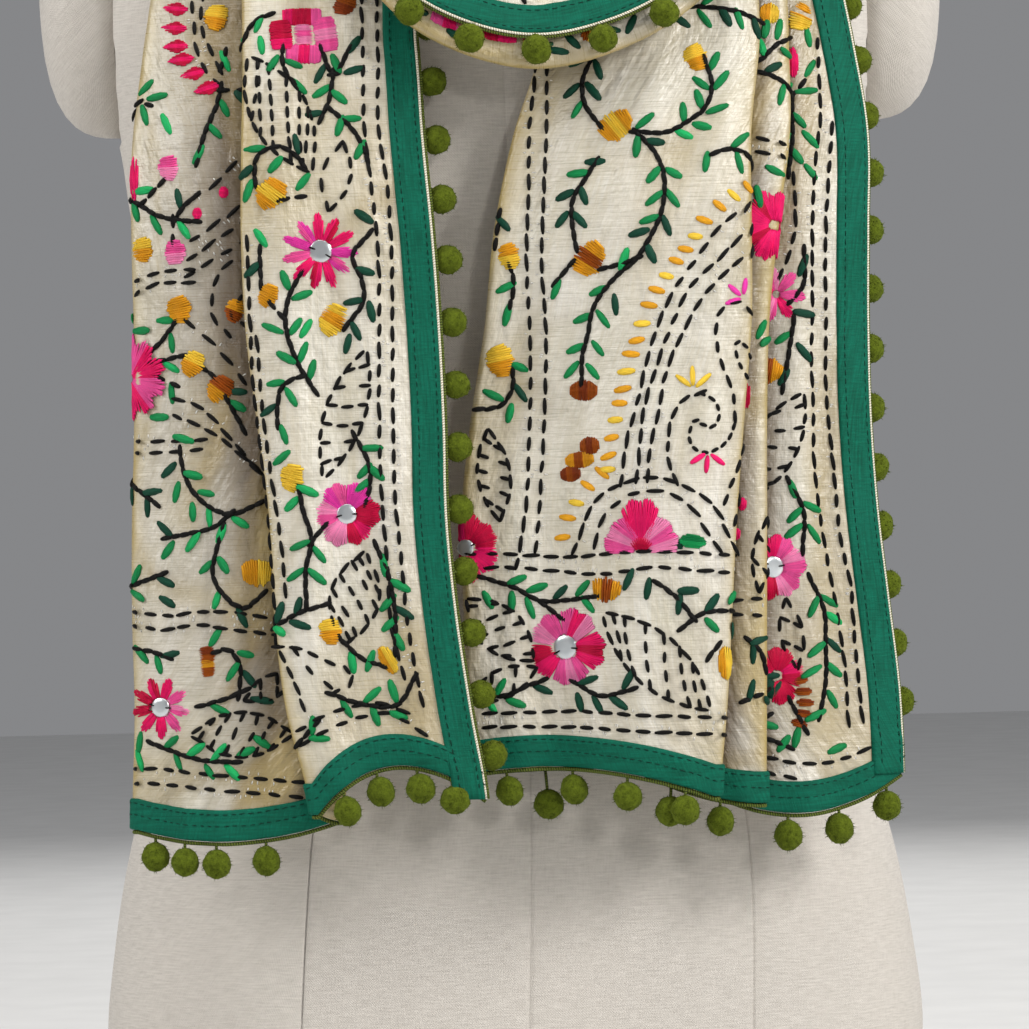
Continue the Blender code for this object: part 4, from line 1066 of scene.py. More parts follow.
def sideHang(spot):
    # how far out and how far back a pompom hangs: less far out on the shoulder
    share = float(smoothStep(0.615, 0.58, spot[2]))
    return 8.2 * mm - 4.4 * mm * share, 6.4 * mm * share


def hemPlaces(columns, line, picks):
    # places picked by run, share of the run and how much further they hang, in mm
    way = lengthsAlong(line)
    places = []
    for run, share, extra in picks:
        here = [w for w, s in zip(way, columns[0]) if s == 2 * run]
        places.append((here[0] + (here[-1] - here[0]) * share, extra * mm))
    return sorted(places)


def sideEdge(cloth, side, along):
    return edgePath(cloth, edgeFlat(cloth, side, 0.0, along), along, edgeFlat(cloth, side, 3 * mm, along), along)


def hemEdge(cloth):
    columns, low = hemColumns(cloth, silkValues["coarse"])
    inside = low + 3 * mm
    line, out, facing = edgePath(cloth, flatAt(cloth, columns, low[None, :])[0], low,
                                 flatAt(cloth, columns, inside[None, :])[0], inside)
    return columns, line, out, facing


leftPicks = ((0, 0.22, 0), (0, 0.42, 0), (0, 0.64, 0), (0, 0.85, 0), (2, 0.36, 0), (2, 0.60, 0), (2, 0.76, 0),
             (2, 0.93, 0))
rightPicks = ((1, 0.08, 0), (1, 0.37, 0), (1, 0.64, 0), (1, 0.90, 0), (5, 0.35, 0), (5, 0.62, 0), (5, 0.90, 0),
              (0, 0.5, 6.5), (2, 0.75, 4), (3, 0.68, 0))
cowlEnd = cowl["xs"][-1]
leftTrimAlong, cowlTrimAlong = leftSideAlong[leftSideAlong < 0.557], np.linspace(cowlEnd / 19, cowlEnd * 16 / 19, 130)


def sideTrim(cloth, side, along, first, last):
    edge = sideEdge(cloth, side, along)
    return *edge, spacedPlaces(edge[0], first, last)


def hemTrim(cloth, picks):
    columns, *edge = hemEdge(cloth)
    return *edge, hemPlaces(columns, edge[0], picks)


for node, (line, out, facing, places), hang in (
        ("trim_left_side", sideTrim(leftEnd, "first", leftTrimAlong, 0.05, 0.93), sideHang),
        ("trim_right_side", sideTrim(rightEnd, "last", rightSideAlong, 0.06, 0.97), sideHang),
        ("trim_left_hem", hemTrim(leftEnd, leftPicks), lambda spot: (7.8 * mm, 0.0)),
        ("trim_right_hem", hemTrim(rightEnd, rightPicks), lambda spot: (7.8 * mm, 0.0)),
        ("trim_cowl", sideTrim(cowl, "last", cowlTrimAlong, 0.04, 0.96), lambda spot: (7.0 * mm, -4.3 * mm))):
    piece = trimPiece(node.replace("trim", "pompoms"), line, out, facing, places, hang)
    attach(piece, "root")
    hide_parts(node)
    print(piece.name, len(places), "pompoms,", len(piece.data.polygons), "faces")

for name, cloth, side, along in (
        ("piping_left", leftEnd, "first", leftSideAlong), ("piping_right", rightEnd, "last", rightSideAlong),
        ("piping_cowl", cowl, "last", cowlAlong), ("piping_neck_inner", innerPass, "last", passAlong["inner"]),
        ("piping_neck_outer", outerPass, "last", passAlong["outer"])):
    line, out, facing = sideEdge(cloth, side, along)
    line = line + out * trimValues["pipingOut"] + facing * trimValues["pipingLift"]
    piece = cordAlong(name, line, facing, trimValues["pipingRadius"], 0.8, pipingCord)
    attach(piece, "root")

# embroidery: every stitch is laid on the right side of the cloth, on the run that carries it

flossDyes = {
    "black": "060505", "pink": "F8196F", "rose": "FA5CA8", "blush": "FC92C2", "crimson": "D20C45",
    "magenta": "F240B0", "gold": "E8A420", "lemon": "F7CF42", "rust": "A4500F", "brick": "8A3A12", "leaf": "0C8146",
    # the last dye is near-white, for tiny raised threads that carry a painted highlight
    "mint": "18A35A", "pine": "083E2D", "seam": "0B3B2E", "pull": "FFFDF6",
}
pathKinds = {  # stitch length, gap, width, height, in mm, and how uneven
    "running": (7.0, 1.4, 1.9, 1.15, 0.2), "outline": (6.0, 1.1, 1.85, 1.1, 0.18), "rib": (5.4, 0.9, 1.8, 1.1, 0.12),
    "curl": (3.5, 0.8, 1.7, 1.05, 0.1), "stem": (6.2, -1.7, 2.3, 1.25, 0.06), "seam": (2.6, 1.1, 0.55, 0.35, 0.1),
}
flossValues = {  # thread and height of petals, buds and patches in mm; a leaf's length, width and height in mm
    "petal": (0.85, 1.1), "bud": (0.95, 1.35), "patch": (0.62, 1.0), "lineStep": 1.6 * mm,
    "leaf": 10.0, "leafWidth": (3.3, 4.0), "leafHigh": 1.35, "leafReach": 11 * mm, "leafStep": 11 * mm,
    # the share of pale threads beside running stitches, and their tint above white, a painted highlight
    "leafClear": 7.5 * mm, "blockClear": 5.5 * mm, "pullGlintShare": 0.18, "tint": (0.92, 1.16), "pullGlintTint": 1.15,
}
layoutValues = {"middle": 514.5, "roll": 0.025, "mmPerPixel": 0.425, "x": 5.3, "z": 320, "endTop": 0.664,
                "edgeClear": 2.5 * mm, "tapeClear": 1.4 * mm, "hemClear": 1.6 * mm, "seamClear": 4 * mm}
stitchShapes = {"satin": satinStitch, "leaf": leafStitch, "fat": fatStitch}
hand = np.random.default_rng(17)
canvases = []


def makeCanvas(cloth, run, side=1):
    # side 1 is the right side of the cloth, -1 its back
    canvas = {"cloth": cloth, "run": run, "side": side, "stitches": [], "paths": [], "mirrors": [], "stems": []}
    canvases.append(canvas)
    return canvas


def px(text):
    # places as they are seen in the photograph's frame, at the depth of the cloth, in metres
    values = np.array([float(v) for v in text.split()] if isinstance(text, str) else text, dtype=float).reshape(-1, 2)
    dx, dy = (values - layoutValues["middle"]).T
    roll, scale = layoutValues["roll"], layoutValues["mmPerPixel"]
    x, z = layoutValues["x"] + (dx - roll * dy) * scale, layoutValues["z"] - (dy + roll * dx) * scale
    return np.stack([x, z], axis=1) * mm


def placeOn(canvas, spots):
    # unfolded places of spots on a canvas, and which of them lie clear of tape, hem and edges
    cloth, run = canvas["cloth"], canvas["run"]
    x, z = np.asarray(spots, dtype=float).T
    along = x if cloth["kind"] == "bundle" else z
    folds = smoothTable(along, cloth["xs"], cloth["folds"])
    starts = segmentStarts(cloth, folds)
    low, high = layoutValues["edgeClear"], tapeWidth + layoutValues["tapeClear"]
    if cloth["kind"] == "bundle":
        clear = layoutValues["seamClear"]
        flat = starts[:, 2 * run] + z
        inside = (along > clear) & (along < cloth["xs"][-1] - clear) & (z > 0.5 * mm)
    else:
        way, first = runStart(folds, run)
        flat = starts[:, 2 * run] + way * (x - first)
        hemSpots, hemStarts = flatSpots(cloth, clothValues["hemSample"], silkValues["coarse"])
        hemLow = np.interp(flat, hemSpots[0], hemHeight(cloth, hemSpots[0], hemStarts[0]))
        inside = (along > hemLow + tapeWidth + layoutValues["hemClear"]) & (along < layoutValues["endTop"])
        if cloth is leftEnd:
            low, high = high, low
    return flat, along, inside & (flat > low) & (flat < starts[:, -1] - high)


def stitch(canvas, start, end, width, high, dye, kind="satin"):
    canvas["stitches"].append((*start, *end, width * mm, high * mm, dye, kind))


def curveThrough(points):
    points = np.asarray(points, dtype=float)
    chord = lengthsAlong(points)
    return smoothTable(np.linspace(0, chord[-1], max(3, int(chord[-1] / flossValues["lineStep"]))), chord, points)


def dashes(canvas, points, kind="running"):
    canvas["paths"].append((curveThrough(points), kind))


def stem(canvas, points):
    dashes(canvas, points, "stem")
    canvas["stems"].append(canvas["paths"][-1][0])


def aimed(angle):
    # the way along an angle in degrees, and the way square to it, in mm
    turn = math.radians(angle)
    return np.array([math.cos(turn), math.sin(turn)]) * mm, np.array([-math.sin(turn), math.cos(turn)]) * mm


def leafAt(canvas, spot, dye):
    # a leaf that grows from the nearest stem towards this spot, and leans the way the stem runs
    spot = np.asarray(spot, dtype=float)
    lines, ahead = spot[None, :], np.ones((1, 2))
    if canvas["stems"]:
        lines = np.concatenate(canvas["stems"])
        ahead = np.concatenate([np.gradient(line, axis=0) for line in canvas["stems"]])
    near = np.argmin(np.linalg.norm(lines - spot, axis=1))
    away = spot - lines[near]
    reach = np.linalg.norm(away)
    way = unit(away) * 0.75 + unit(ahead[near]) * hand.uniform(0.45, 0.95)
    if reach > flossValues["leafReach"] or reach < 0.5 * mm:
        way = np.array([hand.normal(), hand.normal()])
    way = unit(way)
    half = flossValues["leaf"] * mm * hand.uniform(0.44, 0.55)
    width = hand.uniform(*flossValues["leafWidth"])
    stitch(canvas, spot - way * half, spot + way * half, width, flossValues["leafHigh"], dye, "leaf")


def petal(canvas, centre, angle, inner, outer, start, end, dyes, roundness, scallop, thread=flossValues["petal"][0],
          high=flossValues["petal"][1]):
    # one petal of nearly parallel satin stitches; start and end are its widths at the middle and at the tip
    count = max(4, int(round(end / thread)))
    way, side = aimed(angle)
    for i in range(count):
        t = 2 * (i + 0.5) / count - 1
        far = outer * (1 - roundness * abs(t) ** 2.4 + scallop * math.cos(2.2 * math.pi * t))
        far, near = far * hand.uniform(0.985, 1.015), inner * hand.uniform(0.88, 1.1)
        foot, tip = centre + way * near + side * t * start / 2, centre + way * far + side * t * end / 2
        stitch(canvas, foot, tip, thread * 1.55, high, dyes[i * len(dyes) // count])


def halfFlower(canvas, spot, size, dyes):
    # three petals that stand on a line, round a small crimson heart; size is the middle petal's height in mm
    lifted = spot + np.array([0.0, 0.06 * size * mm])
    for angle, share, start, end, group in (
            (152, 0.76, 5.5, 0.86, dyes[0]), (28, 0.76, 5.5, 0.86, dyes[2]), (91, 1.0, 5.0, 0.78, dyes[1])):
        petal(canvas, lifted, angle, 2.0, size * share, start, size * end, group, 0.2, -0.03)
    petal(canvas, spot, 90, 0.6, size * 0.30, 4.0, size * 0.48, ["crimson"], 0.5, 0.0, 0.85, 1.7)


def fillLeaves(canvas):
    # leaves on the bare stretches of the stems
    spots, blocks = ([np.array([(r[0] + r[2]) / 2, (r[1] + r[3]) / 2]) for r in canvas["stitches"] if r[7] == kind]
                     for kind in ("leaf", "satin"))
    for line in canvas["stems"]:
        way = lengthsAlong(line)
        for s in np.arange(5 * mm, way[-1] - 3 * mm, flossValues["leafStep"]):
            foot = onLine(line, way, s)
            ahead = unit(onLine(line, way, s + mm) - foot)
            for side in (-1, 1):
                out = np.array([-ahead[1], ahead[0]]) * side
                spot = foot + (out * 0.8 + ahead * 0.7) * 4.6 * mm
                clear = all(np.linalg.norm(spot - other) > flossValues["leafClear"] for other in spots)
                if clear and all(np.linalg.norm(spot - other) > flossValues["blockClear"] for other in blocks):
                    leafAt(canvas, spot, ("leaf", "mint", "pine")[int(hand.integers(3))])
                    spots.append(spot)


def bud(canvas, centre, angle, size, dyes):
    # a closed flower: thick satin stitches laid across its axis, narrower towards its foot
    way, side = aimed(angle)
    thread, high = flossValues["bud"]
    count = max(5, int(round(size / thread)))
    for i in range(count):
        t = 2 * (i + 0.5) / count - 1
        half = size * 0.49 * math.sqrt(1 - 0.80 * abs(t) ** 2.6) * (0.80 + 0.20 * smoothStep(-1.0, 0.0, t))
        left, right = half * hand.uniform(0.84, 1.08), half * hand.uniform(0.84, 1.08)
        lean = 0.10 * size * t
        spot = centre + way * t * size / 2
        start, end = spot - side * left + way * lean * 0.5, spot + side * right - way * lean * 0.3
        stitch(canvas, start, end, thread * 1.5, high, dyes[i * len(dyes) // count])


def patch(canvas, centre, angle, length, width, dyes, shape):
    # parallel satin stitches along angle that fill a block, an oval or a drop
    thread, high = flossValues["patch"]
    count = max(4, int(width / thread))
    way, side = aimed(angle)
    for i in range(count):
        t = 2 * (i + 0.5) / count - 1
        share = 1 - 0.22 * t ** 4 if shape == "block" else math.sqrt(1 - 0.9 * t * t)
        half = length / 2 * share * hand.uniform(0.93, 1.04)
        shift = 0.25 * length * abs(t) if shape == "drop" else 0.0
        dye = dyes[i * len(dyes) // count]
        spot = centre + side * t * width / 2
        stitch(canvas, spot - way * (half - shift * 0.3), spot + way * (half - shift), thread * 1.9, high, dye)


def mirror(canvas, centre, radius):
    # cut mirror held by two small black stitches
    canvas["mirrors"].append((centre, radius * mm))
    for turn in (hand.uniform(-0.6, 0.6), math.pi + hand.uniform(-0.6, 0.6)):
        way = np.array([math.cos(turn), math.sin(turn)]) * mm
        stitch(canvas, centre + way * (radius + 0.6), centre + way * radius * 0.45, 0.9, 1.9, "black", "fat")


def flower(canvas, centre, radius, petals, dyes, turn, pointed, glass):
    # dyes has one group for each petal, used in turn; glass is the middle's radius, a mirror when it is wide enough
    step = 360.0 / petals
    chord = 2 * math.sin(math.radians(step) / 2)
    shape = ((glass * 0.9, chord * glass * 0.95, chord * radius * 0.52, 0.34, 0.0, 0.8) if pointed else
             (max(1.5, glass * 0.85), chord * glass, chord * radius * 0.86, 0.20, -0.035, flossValues["petal"][0]))
    inner, start, end, *rest = shape
    for i in range(petals):
        far = radius * hand.uniform(0.95, 1.05)
        petal(canvas, centre, turn + step * (i + 0.5), inner, far, start, end, dyes[i % len(dyes)], *rest)
    if glass > 3:
        mirror(canvas, centre, glass)


def kanthaLeaf(canvas, base, tip, width, ribs, slant):
    # a leaf drawn in running stitch: two bulging sides, and ribs from side to side
    axis = tip - base
    side = np.array([-axis[1], axis[0]]) / np.linalg.norm(axis) * width * mm / 2

    def edge(share, way):
        return base + axis * share + side * way * (math.sin(math.pi * share) ** 0.8)

    for way in (-1, 1):
        dashes(canvas, [edge(s, way) for s in (0.045, 0.16, 0.32, 0.5, 0.68, 0.84, 0.955)], "outline")
    for i in range(ribs):
        share = (i + 1) / (ribs + 1)
        one, two = (edge(min(0.95, max(0.05, share + way * slant)), way) for way in (-1.0, 1.0))
        reach = two - one
        span = np.linalg.norm(reach)
        if span < 6.5 * mm:
            continue
        one, two = one + reach / span * 2.0 * mm, two - reach / span * 2.0 * mm
        bend = (one + two) / 2 + axis * 0.03 * hand.uniform(-1, 1)
        dashes(canvas, [one, bend, two], "rib")


def petalsAlong(canvas, points, step, size, dyes, way):
    # single fat petals that stand beside a line, on its left when way is 1
    line = curveThrough(points)
    lengths = lengthsAlong(line)
    for i, s in enumerate(np.arange(step * 0.3 * mm, lengths[-1], step * mm)):
        spot = onLine(line, lengths, s)
        ahead = unit(onLine(line, lengths, s + mm) - spot)
        out = unit(np.array([-ahead[1], ahead[0]]) * way + ahead * 0.35 * hand.uniform(0.6, 1.4))
        tip = spot + out * (2.0 + size * hand.uniform(0.9, 1.1)) * mm
        stitch(canvas, spot + out * 2.0 * mm, tip, 3.1, 1.1, dyes[i % len(dyes)], "leaf")


def sprig(canvas, base, angles, size, dye):
    for angle in angles:
        way, _ = aimed(angle)
        stitch(canvas, base + way * 1.0, base + way * (1.0 + size), 2.5, 1.1, dye, "leaf")


def linesIn(layout, key):
    # the lines of a table, from its text
    return layout[key].split("/") if key in layout else ()


def groupsIn(dyes):
    return [group.split() for group in dyes.split("/")]


def sewLayout(canvas, layout):
    # one canvas from its table: places in the photograph's frame, angles in degrees, sizes in mm
    for key, kind in (("dashes", "running"), ("outlines", "outline"), ("curls", "curl")):
        for line in linesIn(layout, key):
            dashes(canvas, px(line), kind)
    for line in linesIn(layout, "stems"):
        stem(canvas, px(line))
    for dye in ("leaf", "mint", "pine"):
        for spot in px(layout.get(dye, "")):
            leafAt(canvas, spot, dye)
    for *spot, angle, size, dyes in layout.get("buds", ()):
        bud(canvas, px(spot)[0], angle, size, dyes.split())
    for *spot, angle, length, width, shape, dyes in layout.get("patches", ()):
        patch(canvas, px(spot)[0], angle, length, width, dyes.split(), shape)
    for *spot, radius, petals, dyes, turn, pointed, glass in layout.get("flowers", ()):
        flower(canvas, px(spot)[0], radius, petals, groupsIn(dyes), turn, pointed, glass)
    for *spot, size, dyes in layout.get("halves", ()):
        halfFlower(canvas, px(spot)[0], size, groupsIn(dyes))
    for *ends, width, ribs, slant in layout.get("leaves", ()):
        kanthaLeaf(canvas, *px(ends), width, ribs, slant)
    for *spot, angles, size, dye in layout.get("sprigs", ()):
        sprig(canvas, px(spot)[0], angles, size, dye)
    for line, step, size, dye, way in layout.get("fringes", ()):
        petalsAlong(canvas, px(line), step, size, dye.split(), way)
    fillLeaves(canvas)


leftFront = {
    "dashes": "361 -40 361 0 363 60 365 130 372 190 378 240 380 300 380 400 383 500 388 560 394 635 404 672 / 376 "
              "-40 376 0 378 60 379 130 388 190 392 250 393 325 394 430 396 500 402 560 408 620 414 659 422 698 / "
              "249 245 252 325 256 393 263 456 270 538 275 582 277 640 / 259 345 265 417 275 490 283 545 287 590 / "
              "306 742 330 728 356 718 384 712 410 722 428 736 / 302 728 326 714 352 706 380 702 404 710",
    "stems": "270 15 254 22 246 37 239 46 / 283 50 284 69 294 84 / 322 50 334 76 350 50 / 334 76 330 102 322 121 / "
             "331 111 350 128 363 148 368 162 / 304 167 291 153 272 150 258 161 257 184 / 285 202 302 199 / 370 "
             "236 354 258 363 282 365 301 348 327 / 316 392 299 364 290 339 287 321 291 297 302 275 / 262 252 263 "
             "286 / 274 306 284 318 / 302 378 287 385 280 405 280 424 / 356 436 370 465 371 487 367 503 / 301 490 "
             "305 511 313 541 308 565 308 604 / 313 541 326 525 / 377 545 389 574 396 611 396 650 / 275 627 299 "
             "613 326 604 / 345 642 362 657 384 665 / 332 693 363 703 399 703 415 677 / 300 742 318 722",
    "leaf": "274 65 293 65 299 88 340 99 323 93 341 128 352 121 361 152 256 151 277 167 250 193 304 184 287 282 "
            "303 297 275 330 297 328 288 359 304 354 293 398 278 384 286 435 284 458 366 471 377 473 364 486 302 "
            "545 320 554 298 574 318 576 385 565 389 602 391 623 399 640 373 694 394 690 376 715 399 714 314 724 "
            "321 737 371 660",
    "mint": "263 240 259 24 307 330 294 504 309 491 281 630 262 46",
    "pine": "321 75 354 46 354 72 365 219 366 273 355 303 372 313 300 606 281 612 302 624 349 345 357 332",
    "buds": ((272, 196, 50, 13, "gold lemon gold"), (270, 297, 60, 9.5, "gold"),
             (334, 321, 60, 13.5, "lemon gold lemon"), (294, 478, 75, 11, "lemon"),
             (331, 631, 95, 10.5, "gold lemon"), (345, 3, 250, 10, "rust brick")),
    "patches": ((302, 17, 90, 8.4, 16.5, "block", "rose crimson crimson pink"),
                (281, 36, 5, 10, 12.5, "block", "pink crimson crimson"),
                (326, 35, 8, 10.5, 15, "block", "rose blush rose"),
                (304, 55, 87, 8.8, 15, "block", "rose pink rose"),
                (303, 35, 4, 10.4, 8.6, "block", "blush rose blush"), (389, 659, 118, 14, 6, "oval", "lemon gold")),
    "flowers": ((322, 253, 16.4, 11, "pink/crimson pink/pink/magenta rose/magenta/rose", 12, True, 4.9),
                (348, 514, 14.0, 6, "magenta/rose magenta/blush rose/blush/crimson pink/crimson", 30, False, 4.3)),
    "leaves": ((250, 58, 312, 174, 24, 6, -0.30), (331, 212, 344, 146, 12, 0, 0),
               (325, 478, 367, 352, 17, 6, -0.05), (345, 643, 366, 553, 21, 5, 0.22)),
    "outlines": "280 646 297 647 313 653 327 660 342 667 357 674 350 682 336 691 / 297 650 304 660 314 672 329 684 "
                "/ 284 656 291 671 298 686 304 704",
}
leftBack = {
    "dashes": "190 4 193 28 196 50 207 72 218 84 / 201 -10 200 24 207 43 218 67 / 196 197 214 186 239 160 250 152 "
              "/ 195 239 246 202 252 196 / 192 258 246 221 / 190 275 246 241 / 120 283 135 280 159 272 190 270 / "
              "120 296 136 293 155 284 189 283 / 190 324 212 342 227 359 243 380 / 180 400 205 410 224 431 255 466 "
              "/ 178 417 202 427 222 439 257 470 / 118 441 171 441 200 440 / 118 453 171 452 196 450 / 118 612 136 "
              "613 166 616 200 612 229 612 280 620 / 118 626 134 627 166 630 195 625 234 630 280 635 / 118 772 150 "
              "770 200 774 250 778 300 782 / 118 787 150 785 200 789 250 793 300 797",
    "outlines": "247 261 222 269 215 291 213 315 228 334 / 240 300 232 318 246 326",
    "stems": "224 52 220 66 / 220 87 215 108 207 128 203 141 198 162 / 222 90 243 89 / 130 112 136 100 148 103 / "
             "162 182 142 202 / 120 196 136 202 155 214 176 220 198 222 / 176 220 187 204 197 196 / 174 221 174 "
             "241 / 151 362 183 356 / 159 378 176 385 / 203 368 214 376 / 228 400 244 430 / 176 322 162 340 150 "
             "352 / 181 451 184 470 195 494 210 507 231 514 260 503 / 231 514 217 526 193 533 166 538 / 224 528 "
             "217 553 214 574 224 594 244 608 263 594 / 120 476 131 485 156 504 / 120 590 131 586 162 574 / 217 "
             "652 229 650 239 664 239 695 / 136 650 150 652 168 658 / 200 706 222 700 246 690 / 150 744 172 752 "
             "200 760 236 762",
    "leaf": "144 85 156 95 143 113 224 108 214 131 199 155 172 343 172 393 159 417 184 439 193 475 177 492 206 493 "
            "193 512 168 550 207 567 224 565 216 637 246 654 233 671 135 575 136 596 140 330 166 320 238 406 140 "
            "655 158 665 178 762 210 772 246 752 262 742 128 318 138 744",
    "pine": "151 492 147 506 169 470 238 392 167 602 170 655 262 700",
    "mint": "166 123 224 60 138 762 232 772",
    "buds": ((214, 15, 80, 11, "gold lemon"), (169, 168, 90, 10, "blush rose"), (176, 252, 270, 10, "rose blush"),
             (142, 249, 95, 10, "gold lemon"), (180, 310, 100, 11, "gold"), (235, 311, 70, 9.5, "rust gold"),
             (193, 364, 60, 10.5, "gold lemon"), (220, 389, 50, 11.5, "gold rust"),
             (258, 573, 180, 13, "lemon gold")),
    "patches": tuple((x, y, angle, 12, 5.6, "drop", "crimson pink crimson") for x, y, angle in (
        (173, 5, 170), (172, 25, 172), (174, 44, 178), (180, 58, 184), (192, 73, 190), (206, 88, 196), (176, -14, 165)
    )) + ((207, 655, 5, 12, 7, "oval", "rust brick"), (208, 668, 5, 11, 7, "oval", "rust gold"),
          (224, 193, 0, 4.6, 4.4, "oval", "pink"), (198, 214, 0, 4.6, 4.4, "oval", "pink"),
          (133, 178, 90, 20, 3.5, "oval", "pink")),
    "flowers": ((124, 378, 19.5, 11, "pink/pink rose/rose/rose blush", 0, False, 1.2),
                (160, 708, 13.5, 9, "rose blush/rose/pink/crimson pink/crimson/crimson/pink/pink/rose",
                 -30, True, 4.2)),
    "leaves": ((192, 735, 292, 734, 19, 6, 0.1), (246, 700, 292, 676, 10, 2, 0.1)),
}
rightFront = {
    "dashes": "536 30 536 72 530 120 529 187 527 273 530 324 531 377 529 449 526 507 522 535 517 564 / 549 30 547 "
              "69 547 129 544 201 542 267 546 324 545 406 542 469 539 515 536 547 / 470 554 504 554 565 557 642 "
              "551 700 553 760 557 / 470 568 519 568 556 571 599 574 654 567 700 570 760 575 / 470 714 520 713 575 "
              "711 640 714 719 716 760 718 / 470 728 520 727 575 727 640 730 719 733 760 735 / 760 200 745 209 720 "
              "227 697 258 674 290 659 321 645 366 636 406 626 443 621 481 / 765 222 748 232 714 264 688 290 671 "
              "325 654 372 642 415 639 449 636 477 / 765 242 751 252 720 278 700 301 684 329 665 372 657 415 649 "
              "449 647 476 / 575 549 578 544 585 521 602 495 622 484 654 478 682 486 714 509 725 532 733 548 / 596 "
              "541 599 527 616 504 639 492 668 494 691 509 705 532 716 547",
    "outlines": "760 320 748 313 728 304 717 316 714 335 720 366 731 395 733 418 / 699 394 682 401 671 418 667 441 "
                "668 464 674 480 / 724 500 734 472 742 450 / 733 520 740 495 746 480",
    "curls": "732 427 727 439 714 450 702 453 691 447 688 437 691 426 697 420 703 427 709 428 716 420 716 409 709 "
             "399 701 395 / 748 357 743 347 738 341 734 346 734 354 738 366 744 377",
    "stems": "592 40 592 57 583 83 585 106 600 128 / 635 135 665 135 688 123 705 109 711 89 704 62 / 636 136 651 "
             "152 661 172 663 195 659 218 648 241 636 260 613 281 593 310 588 335 583 355 582 382 / 603 270 620 "
             "266 636 260 / 596 164 585 181 573 201 572 224 576 248 / 572 264 556 283 / 510 267 514 284 510 306 / "
             "513 372 513 386 500 406 479 409 / 714 156 728 152 745 158 757 178 / 470 574 484 578 513 587 542 601 "
             "568 600 596 596 / 542 603 562 618 / 657 583 677 598 691 616 / 681 627 700 613 728 610 750 612 / 472 "
             "695 508 695 523 688 544 680 / 575 682 601 695 632 688 / 640 20 660 12 690 8 740 14 760 22 / 500 215 "
             "496 245 / 708 655 716 645",
    "leaf": "644 124 636 149 682 115 701 129 698 102 716 112 700 86 720 83 652 178 672 176 653 201 671 201 648 222 "
            "598 292 583 319 603 320 576 349 598 349 572 370 593 372 556 290 507 315 520 367 493 395 510 413 705 "
            "165 738 143 737 165 517 580 512 601 537 588 530 608 583 588 588 604 710 624 730 597 516 703 500 688 "
            "738 20 704 20 479 690 488 600",
    "pine": "579 62 598 71 572 92 593 93 595 164 565 197 583 197 562 221 579 221 665 228 638 235 649 255 615 306 "
            "503 224 628 579 647 588 687 590 678 603 710 603 588 680 628 678 580 702 598 704 732 630 725 18 680 22",
    "buds": ((616, 128, 215, 14, "gold lemon gold"), (695, 60, 110, 11, "gold lemon"),
             (590, 260, 235, 14.5, "gold rust gold"), (607, 589, 175, 11.5, "gold rust gold"),
             (509, 257, 100, 10.5, "lemon gold"), (500, 361, 100, 13, "gold lemon")),
    "patches": ((584, 391, 88, 9.5, 11.5, "oval", "rust brick rust"),
                (590, 446, 94, 8.2, 8.0, "oval", "rust brick rust"),
                (580, 460, 94, 7.6, 12, "oval", "gold rust gold"),
                (571, 474, 94, 7.2, 8.5, "oval", "brick rust brick"), (691, 541, 172, 12, 5.5, "oval", "leaf mint"),
                (724, 662, 92, 15, 6, "oval", "lemon gold"), (679, 545, 0, 3, 3, "oval", "pine")),
    "flowers": ((566, 647, 16.5, 5, "blush pink rose/rose blush/crimson pink/rose blush rose/pink crimson pink",
                 28, False, 5.3),
                (466, 548, 15, 6, "crimson/crimson pink/pink", 0, False, 3.6)),
    "leaves": ((604, 613, 708, 708, 22, 6, -0.17), (533, 660, 468, 600, 19, 5, 0.12),
               (536, 668, 470, 700, 12, 2, 0.1), (500, 520, 488, 430, 14, 5, 0.08)),
    "halves": ((641, 551, 21, "rose blush rose/pink/blush rose blush"),),
    "sprigs": ((692, 390, (92, 140, 40), 9, "lemon"), (706, 453, (210, 262, 322), 8, "pink"),
               (741, 299, (80, 140, 200), 7.5, "magenta")),
    "fringes": (("760 196 745 205 720 223 697 254 674 286 657 319 642 364 "
                 "632 404 622 443 617 478 600 492 582 520 573 546", 7.0, 7.4, "gold lemon gold", -1),),
}
